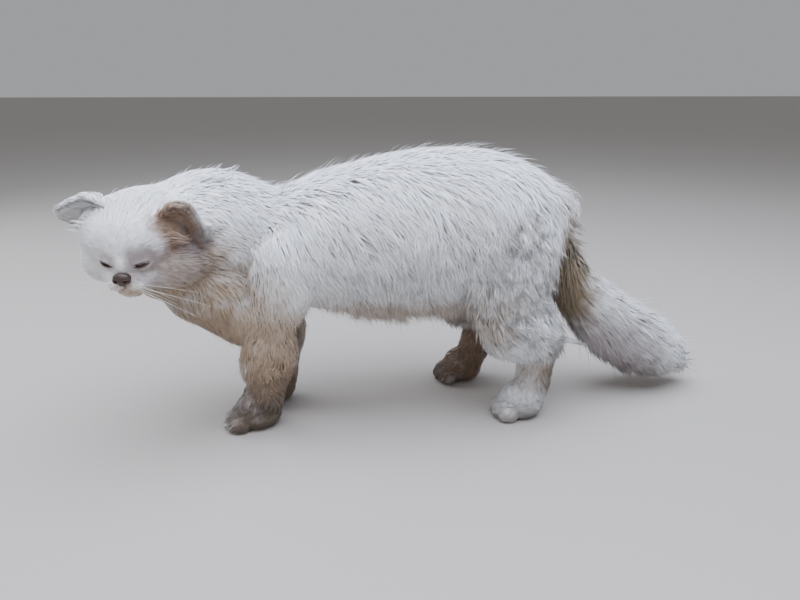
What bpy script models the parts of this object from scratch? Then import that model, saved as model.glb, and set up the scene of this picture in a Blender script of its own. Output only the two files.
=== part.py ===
# A standing long-haired Persian cat at life size, its head turned to its left and its tail held low.
# The cat faces -X, its left side faces -Y, and it stands on the floor at z = 0. Units are metres.
import math
import random

import bmesh
import bpy
import numpy as np
from mathutils import Matrix, Vector
from mathutils.bvhtree import BVHTree

GAP = 0.0003
SEED = 15

# The torso, as (x, top, bottom, half width) of the coat's outline.
TORSO = (
    (-0.150, 0.228, 0.122, 0.044),
    (-0.125, 0.248, 0.108, 0.060),
    (-0.085, 0.259, 0.108, 0.071),
    (-0.030, 0.275, 0.108, 0.077),
    (0.030, 0.289, 0.108, 0.081),
    (0.085, 0.294, 0.112, 0.082),
    (0.135, 0.289, 0.126, 0.077),
    (0.175, 0.274, 0.150, 0.062),
    (0.197, 0.256, 0.176, 0.045),
)
BACK_COAT = 0.018
FLANK_COAT = 0.022
BELLY_COAT = 0.026

# The neck, limbs and tail, as (x, y, z, half width across, half depth) of the coat's outline.
NECK = (
    (-0.085, 0.000, 0.195, 0.058, 0.056),
    (-0.125, -0.003, 0.203, 0.060, 0.066),
    (-0.160, -0.012, 0.209, 0.061, 0.068),
    (-0.190, -0.027, 0.209, 0.058, 0.057),
    (-0.208, -0.040, 0.210, 0.050, 0.050),
)
RUFF = (
    (-0.183, -0.026, 0.182, 0.050, 0.048),
    (-0.154, -0.011, 0.152, 0.056, 0.054),
    (-0.124, 0.000, 0.144, 0.052, 0.052),
)
NECK_COAT = 0.020
FORELEG = (
    (-0.090, 0.038, 0.200, 0.034, 0.046),
    (-0.096, 0.042, 0.155, 0.032, 0.043),
    (-0.104, 0.041, 0.118, 0.027, 0.034),
    (-0.110, 0.038, 0.085, 0.0220, 0.0260),
    (-0.116, 0.034, 0.050, 0.0185, 0.0210),
    (-0.119, 0.031, 0.024, 0.0180, 0.0195),
)
HIND_LEG = (
    (0.140, 0.038, 0.212, 0.036, 0.058),
    (0.138, 0.048, 0.168, 0.037, 0.059),
    (0.139, 0.053, 0.132, 0.033, 0.049),
    (0.153, 0.052, 0.104, 0.026, 0.037),
    (0.172, 0.049, 0.080, 0.0195, 0.0220),
    (0.172, 0.047, 0.052, 0.0175, 0.0195),
    (0.168, 0.046, 0.024, 0.0175, 0.0195),
)
UPPER_LEG_COAT = 0.018
LOWER_LEG_COAT = 0.005
RIGHT_FORE_STRIDE = 0.014
RIGHT_HIND_STRIDE = -0.045
RIGHT_HIND_SPREAD = 0.010
TAIL = (
    (0.181, 0.000, 0.222, 0.030, 0.028),
    (0.200, 0.000, 0.190, 0.030, 0.030),
    (0.222, 0.001, 0.145, 0.034, 0.037),
    (0.256, 0.003, 0.104, 0.040, 0.044),
    (0.297, 0.006, 0.071, 0.043, 0.048),
    (0.336, 0.009, 0.055, 0.040, 0.044),
    (0.360, 0.011, 0.043, 0.029, 0.033),
)
TAIL_COAT = 0.024
CORE_SHARE = 0.5

# The paws: toes lie round the front of each, heel behind.
FOREPAW_CENTRE = (-0.131, 0.031)
HIND_PAW_CENTRE = (0.156, 0.046)
PAW_HALF_LENGTH = 0.0255
PAW_HALF_WIDTH = 0.0205
PAW_HALF_HEIGHT = 0.0150
TOE_RADIUS = 0.0092
TOE_COUNT = 4

# The head, in its own frame: +X is the cat's left, -Y the way it looks and +Z up.
HEAD_CENTRE = (-0.2185, -0.0545, 0.2085)
HEAD_YAW = math.radians(-11)
HEAD_PITCH = math.radians(15)
HEAD_ROLL = math.radians(0.5)
SKULL_FORMS = (
    ((0, 0.008, 0.006), (0.0510, 0.0480, 0.0400)),
    ((0, 0.004, -0.022), (0.0440, 0.0380, 0.0230)),
    ((0, -0.018, 0.010), (0.0400, 0.0280, 0.0280)),
)
CHEEK = ((0.0290, -0.008, -0.012), (0.0310, 0.0300, 0.0240))
JOWL = ((0.0270, 0.022, -0.012), (0.0320, 0.0320, 0.0310))
MUZZLE = ((0, -0.0330, -0.0145), (0.0250, 0.0180, 0.0170))
BRIDGE = ((0, -0.0380, 0.0010), (0.0110, 0.0140, 0.0130))
BROW = ((0.0160, -0.0330, 0.0125), (0.0160, 0.0080, 0.0065))
PAD = ((0.0085, -0.0430, -0.0175), (0.0125, 0.0105, 0.0075))
CHIN = ((0, -0.0405, -0.0270), (0.0120, 0.0095, 0.0065))
EYE_CENTRE = (0.0130, -0.0330, 0.0020)
EYE_RADIUS = 0.0100
EYE_SPLAY = math.radians(17)
LID_DEPTH = 0.0018
LID_HALF_WIDTH = 0.0082
LID_HALF_OPENING = 0.0024
LID_SLANT = math.radians(7)
NOSE_CENTRE = (0, -0.0515, -0.0085)
NOSE_HALF = (0.0078, 0.0042, 0.0062)
NOSTRIL_RADIUS = 0.0013
MOUTH_LINE = (
    (0.0000, -0.0135),
    (0.0000, -0.0190),
    (0.0070, -0.0225),
    (0.0140, -0.0225),
    (0.0195, -0.0190),
)
MOUTH_GROOVE = 0.0009
EAR_HALF = (0.0225, 0.0130, 0.0350)
EAR_TAPER = 0.35
EAR_CLEARANCE = 0.031
EAR_WALL = 0.0026
# Each ear's root, the way that it points and the way that its cup opens, in the head's frame.
EARS = {
    "left_ear": ((0.0400, -0.0060, 0.0170), (0.14, 0.02, 0.99), (0.25, -0.95, 0.0)),
    "right_ear": ((-0.0380, 0.0040, 0.0290), (-0.99, 0.08, 0.12), (-0.12, -0.82, -0.55)),
}

# Where the body is parted. A plane has a point, the way out of the piece cut off, and the axis
# that both lie across. A shaped cut has an outline and the stretch of its axis that it fills.
NECK_FRONT = ((-0.192, -0.026), (-0.66, -0.75), "Z")
NECK_REAR = ((-0.130, 0.205), (-0.857, 0.514), "Y")
CHEST_REAR = ((-0.022, 0.2), (-1.0, 0.0), "Y")
HIPS_FRONT = ((0.056, 0.2), (1.0, 0.0), "Y")
TAIL_TIP = ((0.300, 0.068), (0.90, -0.43), "Y")
TAIL_BELOW_ROOT = (
    (0.206, -0.05), (0.206, 0.122), (0.200, 0.137), (0.262, 0.178), (0.60, 0.30), (0.60, -0.05),
)
TAIL_ROOT = (
    (0.202, 0.120), (0.186, 0.150), (0.180, 0.172), (0.250, 0.207), (0.60, 0.38), (0.60, 0.120),
)
TAIL_ROOT_HALF_WIDTH = 0.043
LEG_INNER_Y = 0.006
SHOULDER_SLOPE = (0.098, 0.080, 0.245)
THIGH_SLOPE = (0.098, 0.080, 0.250)
SHOULDER_SPAN = (-0.300, -0.058)
THIGH_SPAN = (0.080, 0.300)
ELBOW_Z = 0.100
WRIST_Z = 0.030
FAR = 0.6

# Locks of the coat: (length, lift of the tip, width) in each zone, and how closely they are set.
LOCK_SIZES = {
    "head": (0.032, 0.006, 0.022),
    "neck": (0.054, 0.009, 0.030),
    "back": (0.050, 0.008, 0.032),
    "flank": (0.062, 0.013, 0.030),
    "belly": (0.052, 0.018, 0.028),
    "upper_leg": (0.052, 0.011, 0.029),
    "tail": (0.060, 0.016, 0.029),
}
LOCK_SPACING = 0.0316
LOCK_THICKNESS = 0.0046
LOCK_SINK = 0.005
LOCK_KEEL = 0.006
LOCK_EDGE_HEIGHTS = (-0.004, -0.0012, 0.0010)
LOCK_FREE_HEIGHT = 0.014
LOCK_STEPS = (0.0, 0.34, 0.70)
LOCK_WIDTHS = (0.72, 1.0, 0.74)
FLOOR_CLEARANCE = 0.0015

# Fineness of the meshes.
BODY_VOXEL = 0.005
HEAD_VOXEL = 0.0016
PAW_VOXEL = 0.0016
BODY_TRIANGLES = 1300
HEAD_TRIANGLES = 1800
PAW_TRIANGLES = 280
RING_SIDES = 20

WHITE_COAT = ("white_coat", (0.86, 0.85, 0.83), 0.85)
PINK_BROWN = ("nose_leather", (0.33, 0.19, 0.17), 0.5)
EAR_SKIN = ("ear_skin", (0.62, 0.48, 0.42), 0.7)
DARK_EYE = ("eye", (0.16, 0.11, 0.07), 0.15)


def clear_scene():
    for item in list(bpy.data.objects):
        bpy.data.objects.remove(item)


def collection_named(name):
    made = bpy.data.collections.new(name)
    bpy.context.scene.collection.children.link(made)
    return made


def material_named(look):
    name, colour, roughness = look
    made = bpy.data.materials.get(name)
    if made is None:
        made = bpy.data.materials.new(name)
        made.use_nodes = True
        shader = made.node_tree.nodes["Principled BSDF"]
        shader.inputs["Base Color"].default_value = (*colour, 1)
        shader.inputs["Roughness"].default_value = roughness
        shader.inputs["Metallic"].default_value = 0
    return made


def object_from(bm, name, home):
    mesh = bpy.data.meshes.new(name)
    bm.normal_update()
    bmesh.ops.recalc_face_normals(bm, faces=bm.faces)
    bm.to_mesh(mesh)
    bm.free()
    made = bpy.data.objects.new(name, mesh)
    home.objects.link(made)
    return made


def baked(item):
    """Applies the object's modifiers to its mesh."""
    graph = bpy.context.evaluated_depsgraph_get()
    mesh = bpy.data.meshes.new_from_object(item.evaluated_get(graph))
    item.modifiers.clear()
    item.data = mesh
    return item


def copied(item, name):
    made = bpy.data.objects.new(name, item.data.copy())
    item.users_collection[0].objects.link(made)
    return made


def add_ellipsoid(bm, centre, radii, turn=None, fineness=24):
    """Adds an ellipsoid whose axes are turned by a rotation matrix."""
    rotation = turn.to_4x4() if turn else Matrix.Identity(4)
    place = Matrix.Translation(centre) @ rotation @ Matrix.Diagonal((*radii, 1))
    bmesh.ops.create_uvsphere(
        bm, u_segments=fineness, v_segments=fineness // 2, radius=1, matrix=place
    )


def add_loft(bm, rings):
    """Skins closed rings of equal count, and closes both ends."""
    loops = [[bm.verts.new(point) for point in ring] for ring in rings]
    for near, far in zip(loops, loops[1:]):
        for i, vert in enumerate(near):
            after = (i + 1) % len(near)
            bm.faces.new((vert, near[after], far[after], far[i]))
    bm.faces.new(loops[0])
    bm.faces.new(loops[-1])


def smoothed_stations(stations, steps=4):
    """Rows of numbers run through a smooth curve, with steps rows for each span."""
    rows = np.array(stations, float)
    padded = np.vstack([2 * rows[0] - rows[1], rows, 2 * rows[-1] - rows[-2]])
    found = []
    for i in range(1, len(rows)):
        a, b, c, d = padded[i - 1 : i + 3]
        for t in np.arange(steps) / steps:
            found.append(
                0.5 * (2 * b + (c - a) * t + (2 * a - 5 * b + 4 * c - d) * t**2
                       + (3 * b - a - 3 * c + d) * t**3)
            )
    return np.array([*found, rows[-1]])


def rail_frames(rows, up):
    """The centre, side and upright directions at each station of a rail."""
    centres = [Vector(row[:3]) for row in rows]
    frames = []
    for i, centre in enumerate(centres):
        along = centres[min(i + 1, len(centres) - 1)] - centres[max(i - 1, 0)]
        side = along.cross(up).normalized()
        frames.append((centre, side, side.cross(along).normalized()))
    return frames


def add_limb(bm, stations, coat, up):
    """Adds a tapering limb along its stations, inside the coat's outline by coat (one depth for each)."""
    rows = smoothed_stations([(*row, depth) for row, depth in zip(stations, coat)])
    rings = []
    frames = rail_frames(rows, Vector(up))
    for (centre, side, upright), row in zip(frames, rows):
        across, deep = row[3] - row[5], row[4] - row[5]
        angles = [math.tau * i / RING_SIDES for i in range(RING_SIDES)]
        rings.append([centre + side * across * math.cos(a) + upright * deep * math.sin(a) for a in angles])
    add_loft(bm, rings)
    for row in (rows[0], rows[-1]):
        radius = min(row[3], row[4]) - row[5]
        add_ellipsoid(bm, Vector(row[:3]), (radius, radius, radius), fineness=16)


def torso_stations(bare):
    """Stations of the torso with its coat thinned by a share, bare."""
    rows = []
    for x, top, bottom, half_width in TORSO:
        high, low = top - bare * BACK_COAT, bottom + bare * BELLY_COAT
        rows.append((x, 0, (high + low) / 2, half_width - bare * FLANK_COAT, (high - low) / 2))
    return rows


def leg_stations(stations, side, stride=0.0, spread=0.0):
    """A leg on one side of the body, its foot moved along X by stride and outwards by spread."""
    top, foot = stations[0][2], stations[-1][2]
    rows = []
    for x, y, z, across, deep in stations:
        share = (top - z) / (top - foot)
        rows.append((x + stride * share, side * (y + spread * share), z, across, deep))
    return rows


def legs():
    """Every leg, as its name, its stations and its paw's centre on the floor."""
    fore_x, fore_y = FOREPAW_CENTRE
    hind_x, hind_y = HIND_PAW_CENTRE
    right_hind = leg_stations(HIND_LEG, 1, RIGHT_HIND_STRIDE, RIGHT_HIND_SPREAD)
    right_spot = (hind_x + RIGHT_HIND_STRIDE, hind_y + RIGHT_HIND_SPREAD)
    return (
        ("left_fore", leg_stations(FORELEG, -1), (fore_x, -fore_y)),
        ("right_fore", leg_stations(FORELEG, 1, RIGHT_FORE_STRIDE), (fore_x + RIGHT_FORE_STRIDE, fore_y)),
        ("left_hind", leg_stations(HIND_LEG, -1), (hind_x, -hind_y)),
        ("right_hind", right_hind, right_spot),
    )


def leg_coat(stations):
    """The coat's depth at each station of a leg: long above, short from the elbow or hock down."""
    return [UPPER_LEG_COAT if row[2] > 0.11 else LOWER_LEG_COAT for row in stations]


def head_matrix():
    turn = (
        Matrix.Rotation(HEAD_YAW, 4, "Z")
        @ Matrix.Rotation(HEAD_PITCH, 4, "X")
        @ Matrix.Rotation(HEAD_ROLL, 4, "Y")
    )
    return Matrix.Translation(HEAD_CENTRE) @ turn


def both_sides(forms):
    for (x, y, z), radii in forms:
        yield (x, y, z), radii
        yield (-x, y, z), radii


def add_head_forms(bm, forms):
    """Adds ellipsoids given in the head's frame, as (centre, radii)."""
    place = head_matrix()
    for centre, radii in forms:
        add_ellipsoid(bm, place @ Vector(centre), radii, place.to_3x3())


def skinned(bm, name, home, voxel, smoothing, triangles):
    """Melts the forms in bm to one smooth closed skin of about that many triangles."""
    made = object_from(bm, name, home)
    remesh = made.modifiers.new("melt", "REMESH")
    remesh.mode = "VOXEL"
    remesh.voxel_size = voxel
    smooth = made.modifiers.new("smooth", "SMOOTH")
    smooth.factor = 0.5
    smooth.iterations = smoothing
    baked(made)
    if triangles:
        faces = sum(len(face.vertices) - 2 for face in made.data.polygons)
        thin = made.modifiers.new("thin", "DECIMATE")
        thin.ratio = triangles / faces
        baked(made)
    return made


def body_core(home):
    """The body under its long coat, as far out as the locks' roots, without the face and the feet."""
    bm = bmesh.new()
    bare = 1 - CORE_SHARE
    up = (0, 0, 1)
    add_limb(bm, torso_stations(bare), [0] * len(TORSO), up)
    add_limb(bm, NECK, [NECK_COAT * bare] * len(NECK), up)
    add_limb(bm, TAIL, [TAIL_COAT * bare] * len(TAIL), (0.3, 0, 1))
    add_limb(bm, RUFF, [NECK_COAT * bare] * len(RUFF), up)
    add_head_forms(bm, [*SKULL_FORMS, *both_sides([CHEEK, JOWL])])
    for _, stations, _ in legs():
        add_limb(bm, stations, [depth * bare for depth in leg_coat(stations)], (-1, 0, 0))
    return skinned(bm, "core", home, BODY_VOXEL, 6, BODY_TRIANGLES)


def head_core(home):
    """The head with its brows, lids and muzzle, and the neck behind it."""
    bm = bmesh.new()
    add_head_forms(bm, [*SKULL_FORMS, MUZZLE, BRIDGE, *both_sides([CHEEK, JOWL])])
    add_limb(bm, NECK, [NECK_COAT * (1 - CORE_SHARE)] * len(NECK), (0, 0, 1))
    skull = skinned(bm, "skull", home, HEAD_VOXEL, 30, None)
    bm = bmesh.new()
    bm.from_mesh(skull.data)
    lid = EYE_RADIUS + LID_DEPTH
    add_head_forms(bm, [CHIN, *both_sides([BROW, PAD, (EYE_CENTRE, (lid, lid, lid))])])
    return skinned(bm, "head_core", home, HEAD_VOXEL, 6, HEAD_TRIANGLES)


def paw_core(name, stations, spot, home):
    """One paw with its toes and the leg above it."""
    bm = bmesh.new()
    x, y = spot
    rise = PAW_HALF_HEIGHT - 0.002
    radii = (PAW_HALF_LENGTH, PAW_HALF_WIDTH, PAW_HALF_HEIGHT)
    add_ellipsoid(bm, Vector((x + 0.004, y, rise)), radii)
    for i in range(TOE_COUNT):
        spread = (i - (TOE_COUNT - 1) / 2) / (TOE_COUNT - 1)
        reach = PAW_HALF_LENGTH - 0.0035 - 0.022 * spread**2
        toe = Vector((x - reach, y + 2.1 * spread * PAW_HALF_WIDTH * 0.68, TOE_RADIUS * 0.95))
        add_ellipsoid(bm, toe, (TOE_RADIUS * 1.25, TOE_RADIUS * 0.86, TOE_RADIUS), fineness=16)
    add_limb(bm, stations[-3:], leg_coat(stations)[-3:], (-1, 0, 0))
    return skinned(bm, name, home, PAW_VOXEL, 3, PAW_TRIANGLES)


def half_plane(point, out):
    """A large outline whose one edge runs through a point, on the side that out shows."""
    start, away = Vector(point), Vector(out).normalized() * FAR
    along = Vector((-away.y, away.x))
    return [tuple(corner) for corner in (start - along, start - along + away, start + along + away, start + along)]


def offset(outline, distance):
    """The outline with every edge moved inwards by a distance."""
    corners = [Vector(point) for point in outline]
    turning = sum(a.x * b.y - a.y * b.x for a, b in zip(corners, corners[1:] + corners[:1]))
    if turning < 0:
        corners.reverse()
    moved = []
    for i, corner in enumerate(corners):
        before = (corner - corners[i - 1]).normalized()
        after = (corners[(i + 1) % len(corners)] - corner).normalized()
        inward = Vector((-before.y - after.y, before.x + after.x)).normalized()
        moved.append(corner + inward * distance / inward.dot(Vector((-before.y, before.x))))
    return moved


def prism(name, outline, axis, span, inset, home):
    """A cutter of an outline across an axis, inset on every side by a distance."""
    low, high = span[0] + inset, span[1] - inset
    place = {"X": lambda p, t: (t, p.x, p.y), "Y": lambda p, t: (p.x, t, p.y), "Z": lambda p, t: (p.x, p.y, t)}
    bm = bmesh.new()
    rings = [[place[axis](point, end) for point in offset(outline, inset)] for end in (low, high)]
    add_loft(bm, rings)
    bmesh.ops.triangulate(bm, faces=bm.faces)
    return object_from(bm, name, home)


class Cut:
    """A cut between two nodes, with a thin gap between them."""

    def __init__(self, name, outline, axis, home, span=(-FAR, FAR)):
        self.round = prism(name + "_outer", outline, axis, span, 0, home)
        self.within = prism(name + "_inner", outline, axis, span, GAP, home)

    def part(self, rest, name):
        """Takes the piece inside the cut off rest."""
        piece = combined(copied(rest, name), "INTERSECT", self.within)
        combined(rest, "DIFFERENCE", self.round)
        return piece


def plane_cut(name, plane, home):
    point, out, axis = plane
    return Cut(name, half_plane(point, out), axis, home)


def leg_cut(name, side, slope, span, home):
    """A cut round one leg, sloping up and out between it and the trunk."""
    inner_z, outer_y, outer_z = slope
    outline = [(LEG_INNER_Y, -0.05), (LEG_INNER_Y, inner_z), (outer_y, outer_z), (0.3, outer_z), (0.3, -0.05)]
    return Cut(name, [(side * y, z) for y, z in outline], "X", home, span)


def grown(item, name, distance):
    """A copy of the item with its skin moved out by a distance."""
    made = copied(item, name)
    mesh = made.data
    points = np.array([v.co + v.normal * distance for v in mesh.vertices])
    mesh.vertices.foreach_set("co", points.ravel())
    mesh.update()
    return made


def combined(target, operation, tools):
    """Joins, cuts or crosses the target with a collection of closed meshes, or with one object."""
    change = target.modifiers.new("combine", "BOOLEAN")
    change.operation = operation
    change.solver = "MANIFOLD"
    if isinstance(tools, bpy.types.Collection):
        change.operand_type = "COLLECTION"
        change.collection = tools
    else:
        change.object = tools
    return baked(target)


def only_largest(item):
    """Keeps the closed surface of the mesh that holds the most room."""
    bm = bmesh.new()
    bm.from_mesh(item.data)
    unseen = set(bm.faces)
    islands = []
    while unseen:
        start = unseen.pop()
        island, queue = [start], [start]
        while queue:
            for edge in queue.pop().edges:
                for face in edge.link_faces:
                    if face in unseen:
                        unseen.discard(face)
                        island.append(face)
                        queue.append(face)
        islands.append((room_within(island), island))
    islands.sort(key=lambda entry: entry[0])
    dropped = [face for _, island in islands[:-1] for face in island]
    bmesh.ops.delete(bm, geom=dropped, context="FACES")
    bmesh.ops.triangulate(bm, faces=bm.faces)
    bm.to_mesh(item.data)
    bm.free()
    return item


def room_within(faces):
    """The signed volume that the faces hold."""
    total = 0
    for face in faces:
        first, *rest = [vert.co for vert in face.verts]
        total += sum(first.dot(a.cross(b)) for a, b in zip(rest, rest[1:])) / 6
    return total


def facing(centre, ahead, reach):
    """A matrix at a centre in the head's frame, its -Y along ahead, then in the body's frame."""
    turn = Vector(ahead).to_track_quat("-Y", "Z").to_matrix().to_4x4()
    return head_matrix() @ Matrix.Translation(Vector(centre) + Vector(ahead).normalized() * reach) @ turn


def eye_place(side):
    x, y, z = EYE_CENTRE
    ahead = (side * math.sin(EYE_SPLAY), -math.cos(EYE_SPLAY), 0)
    return facing((side * x, y, z), ahead, 0) @ Matrix.Rotation(side * LID_SLANT, 4, "Y")


def eyeball(side, radius, name, home, fineness=12):
    bm = bmesh.new()
    matrix = eye_place(side) @ Matrix.Rotation(math.pi / 2, 4, "X")
    bmesh.ops.create_uvsphere(bm, u_segments=fineness, v_segments=9, radius=radius, matrix=matrix)
    return object_from(bm, name, home)


def lid_opening(side, name, home):
    """The almond-shaped way through the lids of a squinting eye."""
    place = eye_place(side)
    corners = [math.tau * i / 12 for i in range(12)]
    rings = []
    for y, spread in ((-EYE_RADIUS * 0.6, 0.85), (-EYE_RADIUS - 3 * LID_DEPTH, 1.25)):
        almond = [(math.cos(a), math.sin(a) * (1 - 0.35 * math.cos(a) ** 2)) for a in corners]
        rings.append([
            place @ Vector((LID_HALF_WIDTH * spread * u, y, LID_HALF_OPENING * spread * v - 0.0006))
            for u, v in almond
        ])
    bm = bmesh.new()
    add_loft(bm, rings)
    return object_from(bm, name, home)


def mouth_grooves(tree, home):
    """Fine grooves along the muzzle: one down from the nose, one between the corners of the mouth."""
    place = head_matrix()
    left = smoothed_stations(MOUTH_LINE, 3)
    line = [(-x, z) for x, z in left[:3:-1]] + [(x, z) for x, z in left[3:]]
    grooves = []
    for number, stretch in enumerate((line, left[:4])):
        spots = []
        for x, z in stretch:
            hit, normal, _, _ = tree.ray_cast(place @ Vector((x, -0.09, z)), place.to_3x3() @ Vector((0, 1, 0)))
            spots.append((hit, normal))
        rings = []
        for i, (spot, normal) in enumerate(spots):
            along = spots[min(i + 1, len(spots) - 1)][0] - spots[max(i - 1, 0)][0]
            side = along.cross(normal).normalized()
            out = side.cross(along).normalized()
            rings.append([
                spot + side * MOUTH_GROOVE * math.cos(a) + out * 1.3 * MOUTH_GROOVE * math.sin(a)
                for a in (math.tau * k / 6 for k in range(6))
            ])
        bm = bmesh.new()
        add_loft(bm, rings)
        grooves.append(object_from(bm, f"mouth_{number}", home))
    return grooves


def nose_leather(head_shell, home):
    """The nose's bare leather: two wings and the tip between them, with a nostril in each wing."""
    bm = bmesh.new()
    x, y, z = NOSE_CENTRE
    wide, deep, high = NOSE_HALF
    forms = [((x, y, z + high * 0.25), (wide, deep, high * 0.75))]
    forms.append(((x, y - 0.0006, z - high * 0.3), (wide * 0.5, deep, high * 0.7)))
    forms += both_sides([((wide * 0.55, y - 0.0004, z - high * 0.1), (wide * 0.5, deep * 0.9, high * 0.55))])
    add_head_forms(bm, forms)
    nose = skinned(bm, "nose", home, 0.0006, 3, 180)
    nostrils = bmesh.new()
    holes = [((wide * 0.52, y - deep * 0.95, z - high * 0.05), (NOSTRIL_RADIUS * 1.3, deep * 0.5, NOSTRIL_RADIUS))]
    for centre, radii in both_sides(holes):
        add_ellipsoid(nostrils, head_matrix() @ Vector(centre), radii, head_matrix().to_3x3(), 6)
    combined(nose, "DIFFERENCE", object_from(nostrils, "nostrils", home))
    combined(nose, "DIFFERENCE", head_shell)
    return only_largest(nose)


def ear_place(name):
    root, ahead, opening = EARS[name]
    up = Vector(ahead).normalized()
    out = Vector(opening)
    out = (out - up * out.dot(up)).normalized()
    turn = Matrix((up.cross(out), -out, up)).transposed().to_4x4()
    return head_matrix() @ Matrix.Translation(root) @ turn


def add_ear_form(bm, place, centre, radii):
    """Adds an ellipsoid whose upper half narrows to a rounded tip."""
    made = bmesh.ops.create_uvsphere(bm, u_segments=16, v_segments=10, radius=1)["verts"]
    wide, deep, high = radii
    for vert in made:
        narrow = 1 - EAR_TAPER * max(vert.co.z, 0) ** 1.5
        form = Vector((vert.co.x * wide * narrow, vert.co.y * deep, vert.co.z * high))
        vert.co = place @ (Vector(centre) + form)


def ear(name, head_shell, home):
    """A small round-tipped cup of an ear, open at the front, its foot shaped to the skull."""
    place = ear_place(name)
    wide, deep, high = EAR_HALF
    outer = bmesh.new()
    add_ear_form(outer, place, (0, 0, 0), (wide, deep, high))
    made = object_from(outer, name, home)
    inner = bmesh.new()
    hollow = (wide - EAR_WALL, deep * 1.1, high - EAR_WALL * 1.6)
    add_ear_form(inner, place, (0, -deep * 0.55, 0.001), hollow)
    combined(made, "DIFFERENCE", object_from(inner, name + "_cup", home))
    combined(made, "DIFFERENCE", head_shell)
    return only_largest(made)


class Coat:
    """The lie of the coat over the core: which way each spot's hair runs and how long it is."""

    def __init__(self, core):
        self.tree = tree_of(core)
        self.rails = [("torso", smoothed_stations(torso_stations(0.5)))]
        self.rails.append(("neck", smoothed_stations(NECK[::-1])))
        self.rails.append(("tail", smoothed_stations(TAIL)))
        self.rails += [("leg", smoothed_stations(stations)) for _, stations, _ in legs()]
        head = (*HEAD_CENTRE, SKULL_FORMS[0][1][0], SKULL_FORMS[0][1][2])
        ahead = head_matrix() @ Vector((0, -0.03, 0))
        self.rails.append(("head", np.array([(*ahead, 0.04, 0.04), head])))

    def nearest_rail(self, spot):
        """The zone whose limb the spot belongs to, and the way along it there."""
        best = None
        for zone, rows in self.rails:
            away = np.linalg.norm(rows[:, :3] - np.array(spot), axis=1) / np.minimum(rows[:, 3], rows[:, 4])
            i = int(away.argmin())
            if best is None or away[i] < best[0]:
                ahead, behind = rows[min(i + 1, len(rows) - 1)], rows[max(i - 1, 0)]
                best = (away[i], zone, Vector(ahead[:3] - behind[:3]).normalized())
        return best[1], best[2]

    def growth(self, spot, normal):
        """The lock zone at a spot and the way that its hair lies, or None where the fur is short."""
        zone, along = self.nearest_rail(spot)
        down = Vector((0, 0, -1))
        if zone == "torso":
            zone = "belly" if normal.z < -0.45 else "back" if normal.z > 0.72 else "flank"
            lie = along * 0.75 + down
        elif zone == "neck":
            lie = along + down * 0.6
        elif zone == "tail":
            lie = along * 1.6 + down * 0.5
        elif zone == "leg":
            zone = "upper_leg" if spot.z > ELBOW_Z - 0.006 else None
            lie = along + Vector((0.35, 0, -0.3))
        else:
            local = head_matrix().inverted() @ spot
            zone = "head" if local.y + 0.4 * abs(local.x) > 0.018 and local.z < 0.03 else None
            lie = along * 0.8 + down * 0.8
        lie = lie - normal * lie.dot(normal)
        return zone, lie.normalized()

    def above(self, spot, height):
        """The spot moved out to at least that height over the core."""
        near, normal, _, _ = self.tree.find_nearest(spot)
        short = height - (spot - near).dot(normal)
        return spot + normal * short if short > 0 else spot


class Lock:
    """One flat tapering lock: the line that it follows, and its width and facing along it."""

    def __init__(self, coat, root, normal, zone, lie, rng):
        length, lift, width = LOCK_SIZES[zone]
        length *= rng.uniform(0.85, 1.15)
        lift *= rng.uniform(0.85, 1.15)
        self.root, self.half = root, width / 2 * rng.uniform(0.9, 1.12)
        sideways = normal.cross(lie) * rng.uniform(-0.22, 0.22)
        lie = (lie + sideways).normalized()
        self.points = [root - normal * LOCK_SINK - lie * 0.004]
        droop = Vector((0, 0, -1)) * (length * 0.16 if zone in ("flank", "belly", "neck") else 0)
        for share in (*LOCK_STEPS[1:], 1.0):
            spot = root + lie * length * share + droop * share**2
            near, out, _, _ = coat.tree.find_nearest(spot)
            hugged = near + out * lift * share**0.85
            free = 0.45 if zone in ("belly", "flank", "tail") else 0.15
            spot = hugged.lerp(spot + normal * lift * share * 0.6, free)
            spot = coat.above(spot, lift * share * 0.7)
            spot.z = max(spot.z, FLOOR_CLEARANCE + LOCK_THICKNESS / 2 * (1 - share))
            self.points.append(spot)
        self.normals = [normal]
        for spot in self.points[1:]:
            self.normals.append(coat.tree.find_nearest(spot)[1].lerp(normal, 0.4).normalized())

    def section(self, step, tree):
        """Four corners of the lock at one of its steps: its edges lie on the core and its keel in it."""
        along = (self.points[step + 1] - self.points[max(step - 1, 0)]).normalized()
        side = along.cross(self.normals[step]).normalized() * self.half * LOCK_WIDTHS[step]
        out = side.normalized().cross(along)
        centre = self.points[step]
        ridge = centre + out * LOCK_THICKNESS * 0.5
        near, normal, _, height = tree.find_nearest(centre)
        if height > LOCK_FREE_HEIGHT:
            low = centre - out * LOCK_THICKNESS * 0.4
            return [low + side, ridge, low - side, low - out * LOCK_THICKNESS * 0.3]
        edges = []
        for edge in (centre + side, centre - side):
            foot, away, _, _ = tree.find_nearest(edge)
            edges.append(foot + away * LOCK_EDGE_HEIGHTS[step])
        return [edges[0], ridge, edges[1], near - normal * LOCK_KEEL]

    def build(self, name, home, tree):
        bm = bmesh.new()
        loops = [[bm.verts.new(point) for point in self.section(i, tree)] for i in range(len(LOCK_STEPS))]
        bm.faces.new(loops[0])
        for near, far in zip(loops, loops[1:]):
            for i in range(4):
                after = (i + 1) % 4
                bm.faces.new((near[i], near[after], far[after]))
                bm.faces.new((near[i], far[after], far[i]))
        end = bm.verts.new(self.points[-1])
        for i in range(4):
            bm.faces.new((loops[-1][i], loops[-1][(i + 1) % 4], end))
        return object_from(bm, name, home)


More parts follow.
